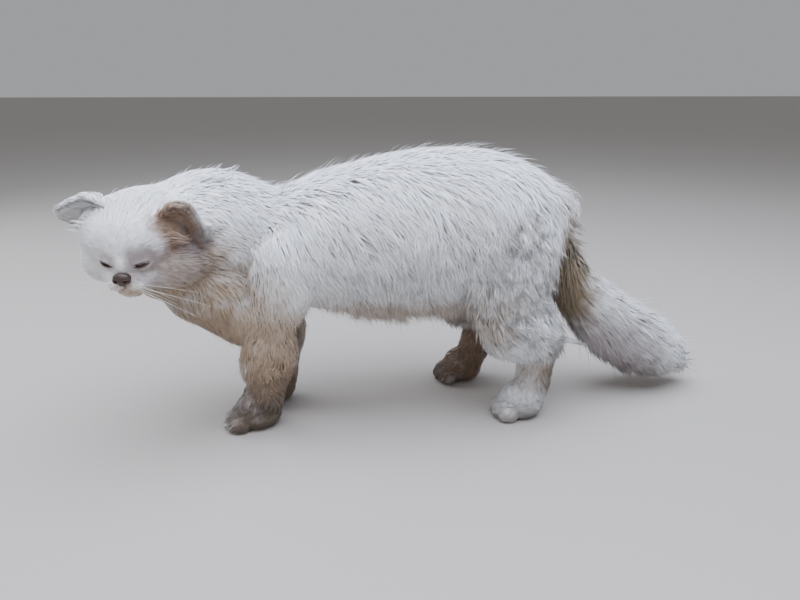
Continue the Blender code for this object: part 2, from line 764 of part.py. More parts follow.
def scattered(core, count, rng):
    """Random spots spread evenly by area over a mesh, with their normals."""
    core.data.calc_loop_triangles()
    points = [v.co for v in core.data.vertices]
    triangles = core.data.loop_triangles
    chosen = rng.choices(triangles, weights=[t.area for t in triangles], k=count)
    for triangle in chosen:
        u, v = rng.random(), rng.random()
        if u + v > 1:
            u, v = 1 - u, 1 - v
        a, b, c = (points[i] for i in triangle.vertices)
        yield a + (b - a) * u + (c - a) * v, triangle.normal.copy()


def grown_locks(core, coat):
    """Locks set over the long-haired parts, no two roots nearer than LOCK_SPACING."""
    rng = random.Random(SEED)
    ears = [ear_place(name) @ Vector((0, 0, EAR_HALF[2] * 0.4)) for name in EARS]
    roots, found = [], []
    for spot, normal in scattered(core, 9000, rng):
        if any((spot - other).length < LOCK_SPACING for other in roots):
            continue
        zone, lie = coat.growth(spot, normal)
        if zone is None:
            continue
        lock = Lock(coat, spot, normal, zone, lie, rng)
        if any((point - ear).length < EAR_CLEARANCE for point in lock.points for ear in ears):
            continue
        roots.append(spot)
        found.append(lock)
    return found


def finished(item, name, look, cat):
    """Moves a node into the cat's collection under its own name and looks."""
    only_largest(item)
    for home in list(item.users_collection):
        home.objects.unlink(item)
    cat.objects.link(item)
    item.name = name
    item.data.name = name
    item.data.materials.clear()
    item.data.materials.append(material_named(look))
    for face in item.data.polygons:
        face.use_smooth = True
    item.data.set_sharp_from_angle(angle=math.radians(38))
    return item


def with_locks(item, locks, tree):
    """Fuses locks to an item by one union of them all."""
    bunch = collection_named("locks")
    for i, lock in enumerate(locks):
        lock.build(f"lock_{i:03d}", bunch, tree)
    combined(item, "UNION", bunch)
    for made in list(bunch.objects):
        bpy.data.objects.remove(made)
    bpy.data.collections.remove(bunch)
    return item


def tree_of(item):
    bm = bmesh.new()
    bm.from_mesh(item.data)
    tree = BVHTree.FromBMesh(bm)
    bm.free()
    return tree


def build_head(locks, neck_cut, cat, scrap):
    core = head_core(scrap)
    shell = grown(core, "head_shell", GAP)
    tree = tree_of(core)
    for name in EARS:
        finished(ear(name, shell, scrap), name, EAR_SKIN, cat)
    finished(nose_leather(shell, scrap), "nose", PINK_BROWN, cat)
    near = [lock for lock in locks if (lock.root - Vector(HEAD_CENTRE)).length < 0.085]
    head = with_locks(core, near, tree)
    combined(head, "INTERSECT", neck_cut.within)
    for side, name in ((1, "left_eye"), (-1, "right_eye")):
        combined(head, "DIFFERENCE", eyeball(side, EYE_RADIUS + GAP, name + "_socket", scrap))
        combined(head, "DIFFERENCE", lid_opening(side, name + "_lids", scrap))
        finished(eyeball(side, EYE_RADIUS, name, scrap), name, DARK_EYE, cat)
    for groove in mouth_grooves(tree, scrap):
        combined(head, "DIFFERENCE", groove)
    finished(head, "head", WHITE_COAT, cat)


def build_leg(name, stations, spot, whole, core, cut, cat, scrap):
    """Parts one leg off the trunk, and into its upper and lower length and its paw."""
    below_elbow = plane_cut(name + "_elbow", ((0, ELBOW_Z), (0, -1), "Y"), scrap)
    below_wrist = plane_cut(name + "_wrist", ((0, WRIST_Z), (0, -1), "Y"), scrap)
    above_floor = plane_cut(name + "_floor", ((0, -GAP), (0, 1), "Y"), scrap)
    upper = cut.part(whole, name + "_upper_leg")
    bare = combined(copied(core, name + "_bare"), "INTERSECT", cut.within)
    lower = below_elbow.part(bare, name + "_lower")
    below_wrist.part(lower, name + "_end")
    combined(upper, "DIFFERENCE", grown(only_largest(lower), name + "_shell", GAP))
    combined(upper, "DIFFERENCE", below_wrist.round)
    paw = paw_core(name + "_paw", stations, spot, scrap)
    combined(paw, "INTERSECT", below_wrist.within)
    combined(paw, "INTERSECT", above_floor.within)
    finished(upper, name + "_upper_leg", WHITE_COAT, cat)
    finished(lower, name + "_lower_leg", WHITE_COAT, cat)
    finished(paw, name + "_paw", WHITE_COAT, cat)


def set_on_floor(cat):
    """Moves every node so that the floor's origin is under the middle of the whole cat."""
    corners = np.array([item.data.vertices[i].co for item in cat.objects for i in range(len(item.data.vertices))])
    low, high = corners.min(axis=0), corners.max(axis=0)
    shift = Matrix.Translation((-(low[0] + high[0]) / 2, -(low[1] + high[1]) / 2, -low[2]))
    for item in cat.objects:
        item.data.transform(shift)
        item.data.update()


def main():
    clear_scene()
    cat = collection_named("persian_cat")
    scrap = collection_named("cutters")
    core = body_core(scrap)
    coat = Coat(core)
    locks = grown_locks(core, coat)
    neck_cut = plane_cut("neck_front", NECK_FRONT, scrap)
    build_head(locks, neck_cut, cat, scrap)
    whole = with_locks(copied(core, "whole"), locks, coat.tree)
    combined(whole, "DIFFERENCE", neck_cut.round)
    finished(plane_cut("neck_rear", NECK_REAR, scrap).part(whole, "neck"), "neck", WHITE_COAT, cat)
    middle = Cut("below_root", TAIL_BELOW_ROOT, "Y", scrap).part(whole, "tail_middle")
    tip = plane_cut("tail_tip", TAIL_TIP, scrap).part(middle, "tail_tip")
    root_span = (-TAIL_ROOT_HALF_WIDTH, TAIL_ROOT_HALF_WIDTH)
    root = Cut("root", TAIL_ROOT, "Y", scrap, root_span).part(whole, "tail_root")
    for item, name in ((root, "tail_root"), (middle, "tail_middle"), (tip, "tail_tip")):
        finished(item, name, WHITE_COAT, cat)
    for name, stations, spot in legs():
        side = math.copysign(1, spot[1])
        slope, span = (SHOULDER_SLOPE, SHOULDER_SPAN) if "fore" in name else (THIGH_SLOPE, THIGH_SPAN)
        cut = leg_cut(name + "_cut", side, slope, span, scrap)
        build_leg(name, stations, spot, whole, core, cut, cat, scrap)
    chest = plane_cut("chest_rear", CHEST_REAR, scrap).part(whole, "chest")
    hips = plane_cut("hips_front", HIPS_FRONT, scrap).part(whole, "hips")
    for item, name in ((chest, "chest"), (hips, "hips"), (whole, "barrel")):
        finished(item, name, WHITE_COAT, cat)
    for item in list(scrap.objects):
        bpy.data.objects.remove(item)
    bpy.data.collections.remove(scrap)
    set_on_floor(cat)


if __name__ == "__main__":
    main()
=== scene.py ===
"""A standing long-haired white cat in a plain studio.

One skin covers the body, with a coat of fine tufts, eyes, nose, whiskers and claws. The cat faces -X
and its left side faces -Y. Every piece is worked out in the cat's own design frame, in metres, and then
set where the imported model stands.
"""

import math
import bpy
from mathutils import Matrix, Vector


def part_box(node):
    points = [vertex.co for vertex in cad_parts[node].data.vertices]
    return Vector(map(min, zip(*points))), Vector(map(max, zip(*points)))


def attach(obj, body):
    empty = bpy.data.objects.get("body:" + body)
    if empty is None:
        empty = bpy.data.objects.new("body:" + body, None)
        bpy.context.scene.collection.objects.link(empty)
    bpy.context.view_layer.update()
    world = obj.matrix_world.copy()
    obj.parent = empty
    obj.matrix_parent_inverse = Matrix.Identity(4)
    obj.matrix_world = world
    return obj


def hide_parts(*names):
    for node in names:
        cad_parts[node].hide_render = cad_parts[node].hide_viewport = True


bl_info = {
    "name": "Long-Haired Cat",
    "version": (1, 0, 0),
    "blender": (4, 5, 0),
    "location": "3D View > Sidebar > Cat",
    "description": "Builds the skin, coat, eyes, nose, whiskers and claws of a standing long-haired cat",
    "category": "Add Mesh",
}

import bmesh
import bpy
import numpy as np
from bpy.props import FloatProperty, FloatVectorProperty, IntProperty, PointerProperty
from mathutils import Matrix, Vector, noise
from mathutils.bvhtree import BVHTree
from mathutils.kdtree import KDTree

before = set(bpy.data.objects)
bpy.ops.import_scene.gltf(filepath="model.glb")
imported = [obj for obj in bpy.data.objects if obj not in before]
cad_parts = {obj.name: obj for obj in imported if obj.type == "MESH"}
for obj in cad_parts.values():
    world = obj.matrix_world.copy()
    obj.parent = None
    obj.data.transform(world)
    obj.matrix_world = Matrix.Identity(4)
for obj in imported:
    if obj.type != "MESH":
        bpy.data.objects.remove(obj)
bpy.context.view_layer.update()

# The torso, as (x, top, bottom, half width) of the coat's outline.
TORSO = (
    (-0.150, 0.228, 0.122, 0.044),
    (-0.125, 0.248, 0.108, 0.060),
    (-0.085, 0.259, 0.108, 0.071),
    (-0.030, 0.275, 0.108, 0.077),
    (0.030, 0.289, 0.108, 0.081),
    (0.085, 0.294, 0.112, 0.082),
    (0.135, 0.289, 0.126, 0.077),
    (0.175, 0.274, 0.150, 0.062),
    (0.197, 0.256, 0.176, 0.045),
)

# The neck, limbs and tail, as (x, y, z, half width across, half depth) of the coat's outline.
NECK = (
    (-0.085, 0.000, 0.195, 0.058, 0.056),
    (-0.125, -0.003, 0.203, 0.060, 0.066),
    (-0.160, -0.012, 0.209, 0.061, 0.068),
    (-0.190, -0.027, 0.209, 0.058, 0.057),
    (-0.208, -0.040, 0.210, 0.050, 0.050),
)
RUFF = (
    (-0.209, -0.050, 0.177, 0.033, 0.029),
    (-0.186, -0.030, 0.174, 0.049, 0.049),
    (-0.158, -0.014, 0.153, 0.056, 0.054),
    (-0.138, -0.012, 0.138, 0.055, 0.057),
    (-0.118, -0.008, 0.128, 0.053, 0.060),
)
FORELEG = (
    (-0.090, 0.038, 0.200, 0.034, 0.046),
    (-0.096, 0.042, 0.155, 0.032, 0.043),
    (-0.104, 0.041, 0.118, 0.027, 0.034),
    (-0.110, 0.038, 0.085, 0.0220, 0.0260),
    (-0.116, 0.034, 0.050, 0.0185, 0.0210),
    (-0.119, 0.031, 0.024, 0.0180, 0.0195),
)
HIND_LEG = (
    (0.140, 0.038, 0.212, 0.036, 0.058),
    (0.138, 0.048, 0.168, 0.037, 0.059),
    (0.139, 0.053, 0.132, 0.033, 0.049),
    (0.153, 0.052, 0.104, 0.026, 0.037),
    (0.172, 0.049, 0.080, 0.0195, 0.0220),
    (0.172, 0.047, 0.052, 0.0175, 0.0195),
    (0.168, 0.046, 0.024, 0.0175, 0.0195),
)
RIGHT_FORE_STRIDE = 0.014
RIGHT_HIND_STRIDE = -0.045
RIGHT_HIND_SPREAD = 0.010
TAIL = (
    (0.181, 0.000, 0.222, 0.030, 0.028),
    (0.200, 0.000, 0.190, 0.030, 0.030),
    (0.222, 0.001, 0.145, 0.034, 0.037),
    (0.256, 0.003, 0.104, 0.040, 0.044),
    (0.297, 0.006, 0.070, 0.043, 0.048),
    (0.334, 0.009, 0.051, 0.040, 0.043),
    (0.352, 0.010, 0.041, 0.031, 0.034),
)
LIMB_SIDES = 28

# Depth of the coat over tail, skull and jowls, the least half width of the tail's flesh, and the height
# above which a leg wears the longer coat.
TAIL_COAT = 0.024
SKULL_COAT = 0.006
JOWL_COAT = 0.0105
TAIL_FLESH = 0.0085
SHANK_TOP = 0.11

# The paws: toes lie round the front of each, heel behind.
FOREPAW_CENTRE = (-0.131, 0.031)
HIND_PAW_CENTRE = (0.156, 0.046)
PAW_HALF = (0.0255, 0.0205, 0.0150)
TOE_RADIUS = 0.0092
TOE_COUNT = 4

# The head, in its own frame: +X is the cat's left, -Y the way it looks and +Z up.
HEAD_CENTRE = (-0.2185, -0.0545, 0.2085)
HEAD_YAW = math.radians(-11)
HEAD_PITCH = math.radians(15)
HEAD_ROLL = math.radians(0.5)
SKULL_FORMS = (
    ((0, 0.008, 0.006), (0.0510, 0.0480, 0.0400)),
    ((0, 0.004, -0.022), (0.0440, 0.0380, 0.0230)),
    ((0, -0.018, 0.010), (0.0400, 0.0280, 0.0280)),
    ((-0.0210, 0.006, 0.008), (0.0350, 0.0400, 0.0330)),
)
CHEEK = ((0.0290, -0.008, -0.012), (0.0310, 0.0300, 0.0240))
JOWL = ((0.0270, 0.022, -0.012), (0.0320, 0.0320, 0.0310))
JOWL_BACK = ((0.0200, 0.0360, -0.0260), (0.0360, 0.0360, 0.0330))
MUZZLE = ((0, -0.0330, -0.0145), (0.0265, 0.0180, 0.0170))
BRIDGE = ((0, -0.0380, 0.0010), (0.0110, 0.0140, 0.0130))
BROW = ((0.0160, -0.0330, 0.0125), (0.0160, 0.0080, 0.0065))
PAD = ((0.0080, -0.0430, -0.0175), (0.0110, 0.0100, 0.0072))
CHIN = ((0, -0.0395, -0.0260), (0.0135, 0.0105, 0.0060))
EYE_CENTRE = (0.0130, -0.0330, 0.0020)
EYE_RADIUS = 0.0100
EYE_SPLAY = math.radians(17)
LID_DEPTH = 0.0018
LID_HALF_WIDTH = 0.0058
LID_SLANT = math.radians(-11)
LID_GAP_DROP = 0.0006
NOSE_CENTRE = (0, -0.0515, -0.0085)
NOSE_HALF = (0.0078, 0.0042, 0.0062)
# The left half of the mouth line and of the groove above it, as (x, z) in the head's frame.
MOUTH_LINE = (
    (0.0000, -0.0135),
    (0.0000, -0.0190),
    (0.0070, -0.0228),
    (0.0140, -0.0238),
    (0.0200, -0.0226),
)
EAR_HALF = (0.0240, 0.0100, 0.0350)
# Each ear as its root, the way it points and the way its cup opens, in the head's frame.
EARS = {
    "left": ((0.0375, -0.0080, 0.0160), (0.36, 0.02, 0.93), (0.20, -0.96, 0.0)),
    "right": ((-0.0400, 0.0030, 0.0270), (-0.99, 0.06, 0.14), (-0.12, -0.93, -0.30)),
}
# How much wider than EAR_HALF each ear is, how pointed its tip is, and how far the tip folds forwards
# over the cup, from a height of EAR_FOLD_FROM upwards.
EAR_WIDTH = {"left": 1.14, "right": 1.0}
EAR_POINT = {"left": 0.10, "right": 0.30}
EAR_FOLD = {"left": 0.005, "right": 0.002}
EAR_FOLD_FROM = 0.010

# Voxel sizes at which the forms of each part melt to one skin.
BODY_VOXEL = 0.003
PAW_VOXEL = 0.0011
SKULL_VOXEL = 0.0016
HEAD_VOXEL = 0.0009

FLESH_NODES = (
    "head", "left_ear", "right_ear", "neck", "chest", "barrel", "hips",
    "tail_root", "tail_middle", "tail_tip",
    *(
        f"{side}_{leg}_{part}"
        for side in ("left", "right")
        for leg in ("fore", "hind")
        for part in ("upper_leg", "lower_leg", "paw")
    ),
)

# The coat in each zone: length and depth (m), share of the full width, clumping, curl, freedom to hang
# away from the body, and how densely it is set.
ZONES = {
    "back": (0.040, 0.0175, 1.0, 0.22, 0.4, 0.12, 1.0),
    "flank": (0.056, 0.0215, 1.0, 0.72, 1.2, 0.40, 1.0),
    "belly": (0.050, 0.0250, 1.0, 0.76, 1.2, 0.85, 1.1),
    "neck": (0.042, 0.0185, 1.0, 0.34, 0.6, 0.20, 1.0),
    "shoulder": (0.032, 0.0165, 0.9, 0.30, 0.5, 0.12, 1.2),
    "tail": (0.056, 0.0245, 1.0, 0.40, 0.8, 0.42, 1.2),
    "thigh": (0.042, 0.0190, 1.0, 0.88, 1.6, 0.34, 1.2),
    "shank": (0.0140, 0.0052, 0.85, 0.84, 1.3, 0.10, 2.4),
    "paw": (0.0095, 0.0030, 0.60, 0.62, 0.9, 0.10, 3.6),
    "throat": (0.042, 0.0170, 1.0, 0.42, 0.6, 0.70, 1.2),
    "jowl": (0.030, 0.0095, 0.85, 0.36, 0.6, 0.30, 1.5),
    "face": (0.0085, 0.0022, 0.55, 0.30, 0.3, 0.05, 3.4),
    "ear": (0.0110, 0.0026, 0.60, 0.30, 0.4, 0.22, 3.2),
    "ear_cup": (0.0120, 0.0040, 0.66, 0.50, 0.7, 0.30, 7.0),
}
# Where a zone's row holds its length, depth, freedom and density.
LENGTH, DEPTH, FREE, DENSITY = 0, 1, 5, 6
# Coat from this length on is long, and from this curl on is wavy.
LONG_FROM = 0.018
WAVY_FROM = 0.8
# Between these two curls the coat starts to hang away from the body.
HANG_CURLS = (0.85, 1.1)
# Curl above this counts no further, and the coat waves once in this length.
MOST_CURL = 1.6
WAVE_LENGTH = 0.034

# A tuft's cross section, as (across, out) in half widths, and its share of the width along its length.
TUFT_SECTION = ((-1.0, -0.30), (1.0, -0.30), (0.0, 0.55))
TUFT_TAPER = ((0, 0.25, 0.6, 1), (0.7, 1.0, 0.85, 0.1))
# How deep a root starts in the skin, and how low over the floor grown tufts and laid locks may come.
ROOT_DEPTH = 0.0012
COAT_FLOOR = 0.0008
LOCK_FLOOR = 0.0022
# Locks part from the coat of flanks and thighs above this height, and this far apart.
HEM_HEIGHT = 0.128
LOCK_SPACING = 0.0165
# Side of the patch of the unwrap that one tuft takes.
TUFT_PATCH = 0.003
MOST_TRIANGLES = 190_000
SEED = 11

# The photograph's camera in the design frame: its place, its degrees down and round, and its focal
# length as a share of the picture's width. The lamps point at a spot low in the middle of the body.
CAMERA_SPOT = (-0.0614, -0.6725, 0.345)
CAMERA_DOWN = 18
CAMERA_TURN = -7.8
FOCAL_SHARE = 650 / 800
LAMP_TARGET = Vector((0, 0, 0.15))


def linear(code):
    """An sRGB hex colour as linear RGB."""
    shares = [int(code[i : i + 2], 16) / 255 for i in (1, 3, 5)]
    return tuple(s / 12.92 if s <= 0.04045 else ((s + 0.055) / 1.055) ** 2.4 for s in shares)


def size_setting(name, description, default):
    """A length that a user can change, in metres."""
    return FloatProperty(name=name, description=description, default=default, unit="LENGTH")


def share_setting(name, description):
    """A factor that a user can change, 1 for the coat as it is."""
    return FloatProperty(name=name, description=description, default=1.0, subtype="FACTOR")


def number_setting(name, description, default, least=100):
    """A number of tufts that a user can change."""
    return IntProperty(name=name, description=description, default=default, min=least)


def colour_setting(name, description, code):
    """A colour that a user can change, its default given as an sRGB hex value."""
    return FloatVectorProperty(
        name=name, description=description, subtype="COLOR", default=linear(code), min=0, max=1
    )


class CatShape(bpy.types.PropertyGroup):
    """Sizes of the skin, the eyes, the whiskers and the claws."""

    back_coat: size_setting("Coat on Back", "Depth of the coat over the back", 0.018)
    flank_coat: size_setting("Coat on Flank", "Depth of the coat over the flanks", 0.022)
    belly_coat: size_setting("Coat on Belly", "Depth of the coat under the belly", 0.026)
    neck_coat: size_setting("Coat on Neck", "Depth of the coat round the neck", 0.020)
    leg_coat: size_setting("Coat on Upper Legs", "Depth of the coat over the upper legs", 0.018)
    shank_coat: size_setting("Coat on Lower Legs", "Depth of the coat below elbow and hock", 0.0035)
    face_coat: size_setting("Coat on Face", "Depth of the short fur of the face", 0.0014)
    lid_opening: size_setting("Lid Opening", "Half the height of the gap between the lids", 0.0015)
    ear_wall: size_setting("Ear Wall", "Thickness of the ears", 0.0020)
    whisker_length: size_setting("Whisker Length", "Length of the longest whisker", 0.060)
    claw_length: size_setting("Claw Length", "Length of each claw along its curve", 0.0075)


class CatCoat(bpy.types.PropertyGroup):
    """Numbers and sizes of the tufts."""

    smooth_tufts: number_setting("Smooth Tufts", "Number of tufts on back, neck and shoulders", 21000)
    wavy_tufts: number_setting("Wavy Tufts", "Number of tufts on flanks, belly, thighs and tail", 26500)
    under_tufts: number_setting("Undercoat Tufts", "Number of broad tufts under the long coat", 14000)
    short_tufts: number_setting("Short Tufts", "Number of tufts of short fur", 30000)
    stray_hairs: number_setting("Stray Hairs", "Number of hairs standing out of the coat", 3000, 10)
    tuft_width: size_setting("Tuft Width", "Width of a tuft of the long coat", 0.00085)
    length_share: share_setting("Length", "Length of the coat against its natural length")
    clump_share: share_setting("Clumping", "How strongly tufts gather into locks")
    curl_share: share_setting("Curl", "How strongly locks wave")


class CatColours(bpy.types.PropertyGroup):
    """Colours of the coat, skin, eyes, nose and floor."""

    # The faint blue in the coat's white is the overhead lamp's tint, painted in.
    coat: colour_setting("Coat", "Clean coat", "#F7F9FC")
    skin: colour_setting("Skin", "Skin under the coat", "#D9C6BC")
    lid_skin: colour_setting("Lids and Lips", "Bare skin of lids and lips", "#5C4846")
    ear_skin: colour_setting("Ear Skin", "Bare skin inside the ears", "#A5816F")
    # The iris is a copper laid on almost black-brown: painted shade under the narrowed lids.
    iris: colour_setting("Iris", "Iris of the eyes", "#482C19")
    nose_top: colour_setting("Nose Top", "Upper edge of the nose", "#3A2A26")
    nose_leather: colour_setting("Nose Leather", "Lower part of the nose", "#4A332F")
    floor: colour_setting("Floor", "Studio floor", "#AFAAA5")


def head_matrix():
    """The head's own frame, in the design frame."""
    turn = (
        Matrix.Rotation(HEAD_YAW, 4, "Z")
        @ Matrix.Rotation(HEAD_PITCH, 4, "X")
        @ Matrix.Rotation(HEAD_ROLL, 4, "Y")
    )
    return Matrix.Translation(HEAD_CENTRE) @ turn


def head_spot(x, y, z):
    """A place in the head's frame, as (x, y, z) in the design frame."""
    return tuple(head_matrix() @ Vector((x, y, z)))


def head_way(x, y, z):
    """A direction in the head's frame, as (x, y, z) in the design frame."""
    return tuple(head_matrix().to_3x3() @ Vector((x, y, z)))


def design_shift():
    """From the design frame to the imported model, whose middle stands over the origin."""
    low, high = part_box("left_eye")
    return (low + high) / 2 - head_matrix() @ Vector(EYE_CENTRE)


SHIFT = design_shift()

# Marks in the coat, each an ellipsoid in the design frame as (centre, radii, colour, strength). Some are
# the coat's own cream, tan, brown and soiled places, some are painted shade, and several are both. The soil
# colour is dirt, laid on darker as painted shade on the forepaws.
CREAM, TAN, SOIL_AND_SHADE, GREY, EAR_BROWN = "#C3AE99", "#A08871", "#6C5F53", "#A39899", "#A58974"
STAINS_AND_SHADE = (
    # Cheeks and under the jaw: a cream tone, laid on darker as painted shade where they face down.
    (head_spot(0.046, -0.004, -0.018), (0.041, 0.047, 0.033), "#B5A292", 0.92),
    (head_spot(0.044, -0.020, -0.008), (0.026, 0.026, 0.018), "#A3968E", 0.80),
    (head_spot(0.006, 0.012, -0.046), (0.056, 0.052, 0.025), "#A6927E", 0.95),
    # Painted shade below the left ear.
    (head_spot(0.048, -0.010, 0.010), (0.026, 0.024, 0.017), "#857876", 0.90),
    (head_spot(0.043, -0.018, 0.036), (0.024, 0.018, 0.030), EAR_BROWN, 0.95),
    # Painted shade in grey round the eye sockets, deeper round the left eye.
    (head_spot(0.018, -0.044, 0.006), (0.019, 0.016, 0.015), GREY, 0.85),
    (head_spot(-0.012, -0.044, 0.004), (0.012, 0.012, 0.009), GREY, 0.50),
    (head_spot(0.012, -0.045, -0.014), (0.024, 0.020, 0.012), GREY, 0.60),
    (head_spot(0.004, -0.047, -0.028), (0.024, 0.018, 0.013), CREAM, 0.85),
    # The chest: a beige and tan tone, laid on darker as painted shade on its downward front.
    ((-0.168, -0.020, 0.138), (0.062, 0.072, 0.068), "#AB9782", 0.95),
    ((-0.150, -0.030, 0.105), (0.040, 0.060, 0.035), TAN, 0.75),
    # The forelegs: cream above and tan below, partly their tone and partly painted shade on their shaded
    # sides.
    ((-0.108, -0.035, 0.095), (0.044, 0.050, 0.085), CREAM, 0.95),
    ((-0.112, -0.035, 0.062), (0.044, 0.050, 0.052), TAN, 0.85),
    ((-0.115, 0.036, 0.080), (0.040, 0.040, 0.090), TAN, 0.80),
    # Forepaws: soil, laid on darker as painted shade.
    ((-0.122, 0.000, 0.008), (0.060, 0.100, 0.042), SOIL_AND_SHADE, 1.00),
    ((-0.092, 0.000, 0.060), (0.020, 0.080, 0.060), TAN, 0.85),
    # Under the belly: a cream tone, laid on darker as painted shade of the underside.
    ((0.020, 0.000, 0.104), (0.130, 0.110, 0.040), CREAM, 0.80),
    ((0.120, 0.000, 0.120), (0.034, 0.100, 0.044), CREAM, 0.60),
    ((0.150, -0.048, 0.004), (0.060, 0.050, 0.018), SOIL_AND_SHADE, 0.65),
    # The right hind paw: soil, laid on near black-brown as painted shadow under the body.
    ((0.112, 0.056, 0.010), (0.060, 0.040, 0.034), "#574B43", 1.00),
    ((0.192, 0.000, 0.050), (0.024, 0.085, 0.056), "#6F5C49", 1.00),
    ((0.166, 0.000, 0.062), (0.030, 0.085, 0.034), CREAM, 0.60),
    # The right hind leg: soil and painted shade.
    ((0.132, 0.056, 0.055), (0.050, 0.034, 0.070), "#8B7562", 1.00),
    # Painted shadow in the folds between the thighs and the tail root.
    ((0.208, 0.000, 0.150), (0.046, 0.070, 0.085), "#B5A48F", 0.90),
    ((0.212, -0.012, 0.128), (0.032, 0.052, 0.074), "#85765F", 0.90),
    # Painted shade on the tail's lower side.
    ((0.262, 0.000, 0.050), (0.072, 0.070, 0.058), GREY, 0.80),
    ((0.280, 0.000, 0.012), (0.090, 0.070, 0.042), "#8A8180", 0.95),
)

# The hide that the skin's operator makes and the coat's operators grow on.
BUILT = {}


def smooth_step(values, start, end):
    """0 at start, 1 at end, with an even rise between them."""
    share = np.clip((values - start) / (end - start), 0, 1)
    return share * share * (3 - 2 * share)


def unit(rows):
    """Rows of numbers as directions of length 1."""
    return rows / np.maximum(np.linalg.norm(rows, axis=-1, keepdims=True), 1e-12)


def transformed(points, matrix):
    """Rows of points moved by a matrix."""
    place = np.array(matrix)
    return points @ place[:3, :3].T + place[:3, 3]


def linked(name, data):
    """A new object in the scene."""
    made = bpy.data.objects.new(name, data)
    bpy.context.collection.objects.link(made)
    return made


def placed(name, mesh, material, replaced=()):
    """Links a mesh in the design frame as a piece of the cat."""
    made = linked(name, mesh)
    made.location = SHIFT
    mesh.materials.append(material)
    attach(made, "root")
    if replaced:
        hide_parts(*replaced)


def points_of(mesh):
    """A mesh's points, as rows of (x, y, z)."""
    points = np.empty(len(mesh.vertices) * 3)
    mesh.vertices.foreach_get("co", points)
    return points.reshape(-1, 3)


def move_points(mesh, points):
    """Moves a mesh's points to the rows given, and shades it smooth."""
    mesh.vertices.foreach_set("co", points.astype(np.float32).ravel())
    mesh.polygons.foreach_set("use_smooth", np.ones(len(mesh.polygons), bool))


def scrap_from(bm, name):
    """An object made from bm, to melt, join or cut with."""
    mesh = bpy.data.meshes.new(name)
    bm.normal_update()
    bmesh.ops.recalc_face_normals(bm, faces=bm.faces)
    bm.to_mesh(mesh)
    bm.free()
    return linked(name, mesh)


def baked(item):
    """Applies the object's modifiers to its mesh."""
    graph = bpy.context.evaluated_depsgraph_get()
    mesh = bpy.data.meshes.new_from_object(item.evaluated_get(graph))
    item.modifiers.clear()
    item.data = mesh
    return item


def combined(item, operation, tool):
    """Joins an item with a closed tool or cuts the tool out of it, and removes the tool."""
    change = item.modifiers.new("combine", "BOOLEAN")
    change.operation = operation
    change.solver = "MANIFOLD"
    change.object = tool
    baked(item)
    bpy.data.objects.remove(tool)


def melted(bm, name, voxel, smoothing):
    """Melts the forms in bm to one smooth closed skin."""
    made = scrap_from(bm, name)
    remesh = made.modifiers.new("melt", "REMESH")
    remesh.mode = "VOXEL"
    remesh.voxel_size = voxel
    smooth = made.modifiers.new("smooth", "SMOOTH")
    smooth.factor = 0.5
    smooth.iterations = smoothing
    return baked(made)


def add_ellipsoid(bm, centre, radii, turn=None, fineness=32):
    """Adds an ellipsoid with fineness points round it."""
    rotation = turn.to_4x4() if turn else Matrix.Identity(4)
    place = Matrix.Translation(centre) @ rotation @ Matrix.Diagonal((*radii, 1))
    bmesh.ops.create_uvsphere(bm, u_segments=fineness, v_segments=fineness // 2, radius=1, matrix=place)


def add_loft(bm, rings):
    """Skins closed rings of equal count, and closes both ends."""
    loops = [[bm.verts.new(point) for point in ring] for ring in rings]
    for near, far in zip(loops, loops[1:]):
        for i, vert in enumerate(near):
            after = (i + 1) % len(near)
            bm.faces.new((vert, near[after], far[after], far[i]))
    bm.faces.new(loops[0])
    bm.faces.new(loops[-1])


def smoothed_stations(stations, steps=4):
    """Rows of numbers run through a smooth curve, with steps rows for each span."""
    rows = np.array(stations, float)
    padded = np.vstack([2 * rows[0] - rows[1], rows, 2 * rows[-1] - rows[-2]])
    found = []
    for i in range(1, len(rows)):
        a, b, c, d = padded[i - 1 : i + 3]
        for t in np.arange(steps) / steps:
            bend = (2 * a - 5 * b + 4 * c - d) * t**2
            twist = (3 * b - a - 3 * c + d) * t**3
            found.append(0.5 * (2 * b + (c - a) * t + bend + twist))
    return np.array([*found, rows[-1]])


def add_limb(bm, stations, up):
    """Adds a tapering limb with rounded ends along (x, y, z, half width, half depth) stations."""
    rows = smoothed_stations(stations)
    centres = [Vector(row[:3]) for row in rows]
    rings = []
    for i, (centre, row) in enumerate(zip(centres, rows)):
        along = centres[min(i + 1, len(centres) - 1)] - centres[max(i - 1, 0)]
        side = along.cross(Vector(up)).normalized()
        upright = side.cross(along).normalized()
        angles = [math.tau * k / LIMB_SIDES for k in range(LIMB_SIDES)]
        across, deep = side * row[3], upright * row[4]
        rings.append([centre + across * math.cos(a) + deep * math.sin(a) for a in angles])
    add_loft(bm, rings)
    for row in (rows[0], rows[-1]):
        radius = min(row[3], row[4])
        add_ellipsoid(bm, Vector(row[:3]), (radius, radius, radius), fineness=20)


def bared(stations, coat, least=0.0):
    """Stations with the coat's depth taken off, but never thinner than least."""
    depths = coat if isinstance(coat, list) else [coat] * len(stations)
    rows = []
    for (x, y, z, across, deep), depth in zip(stations, depths):
        rows.append((x, y, z, max(across - depth, least), max(deep - depth, least)))
    return rows


def torso_stations(shape):
    """The torso's flesh, as (x, y, z, half width, half depth) stations."""
    rows = []
    for x, top, bottom, half_width in TORSO:
        high, low = top - shape.back_coat, bottom + shape.belly_coat
        rows.append((x, 0, (high + low) / 2, half_width - shape.flank_coat, (high - low) / 2))
    return rows


def neck_coats(stations, shape):
    """The coat's depth at each station of the neck: less towards the head, so that both meet flush."""
    return [shape.neck_coat * (1 - 0.6 * headward(row[0])) for row in stations]


def headward(x):
    """How near to the head a place on the neck is, from 0 to 1."""
    return smooth_step(x, -0.125, -0.200)


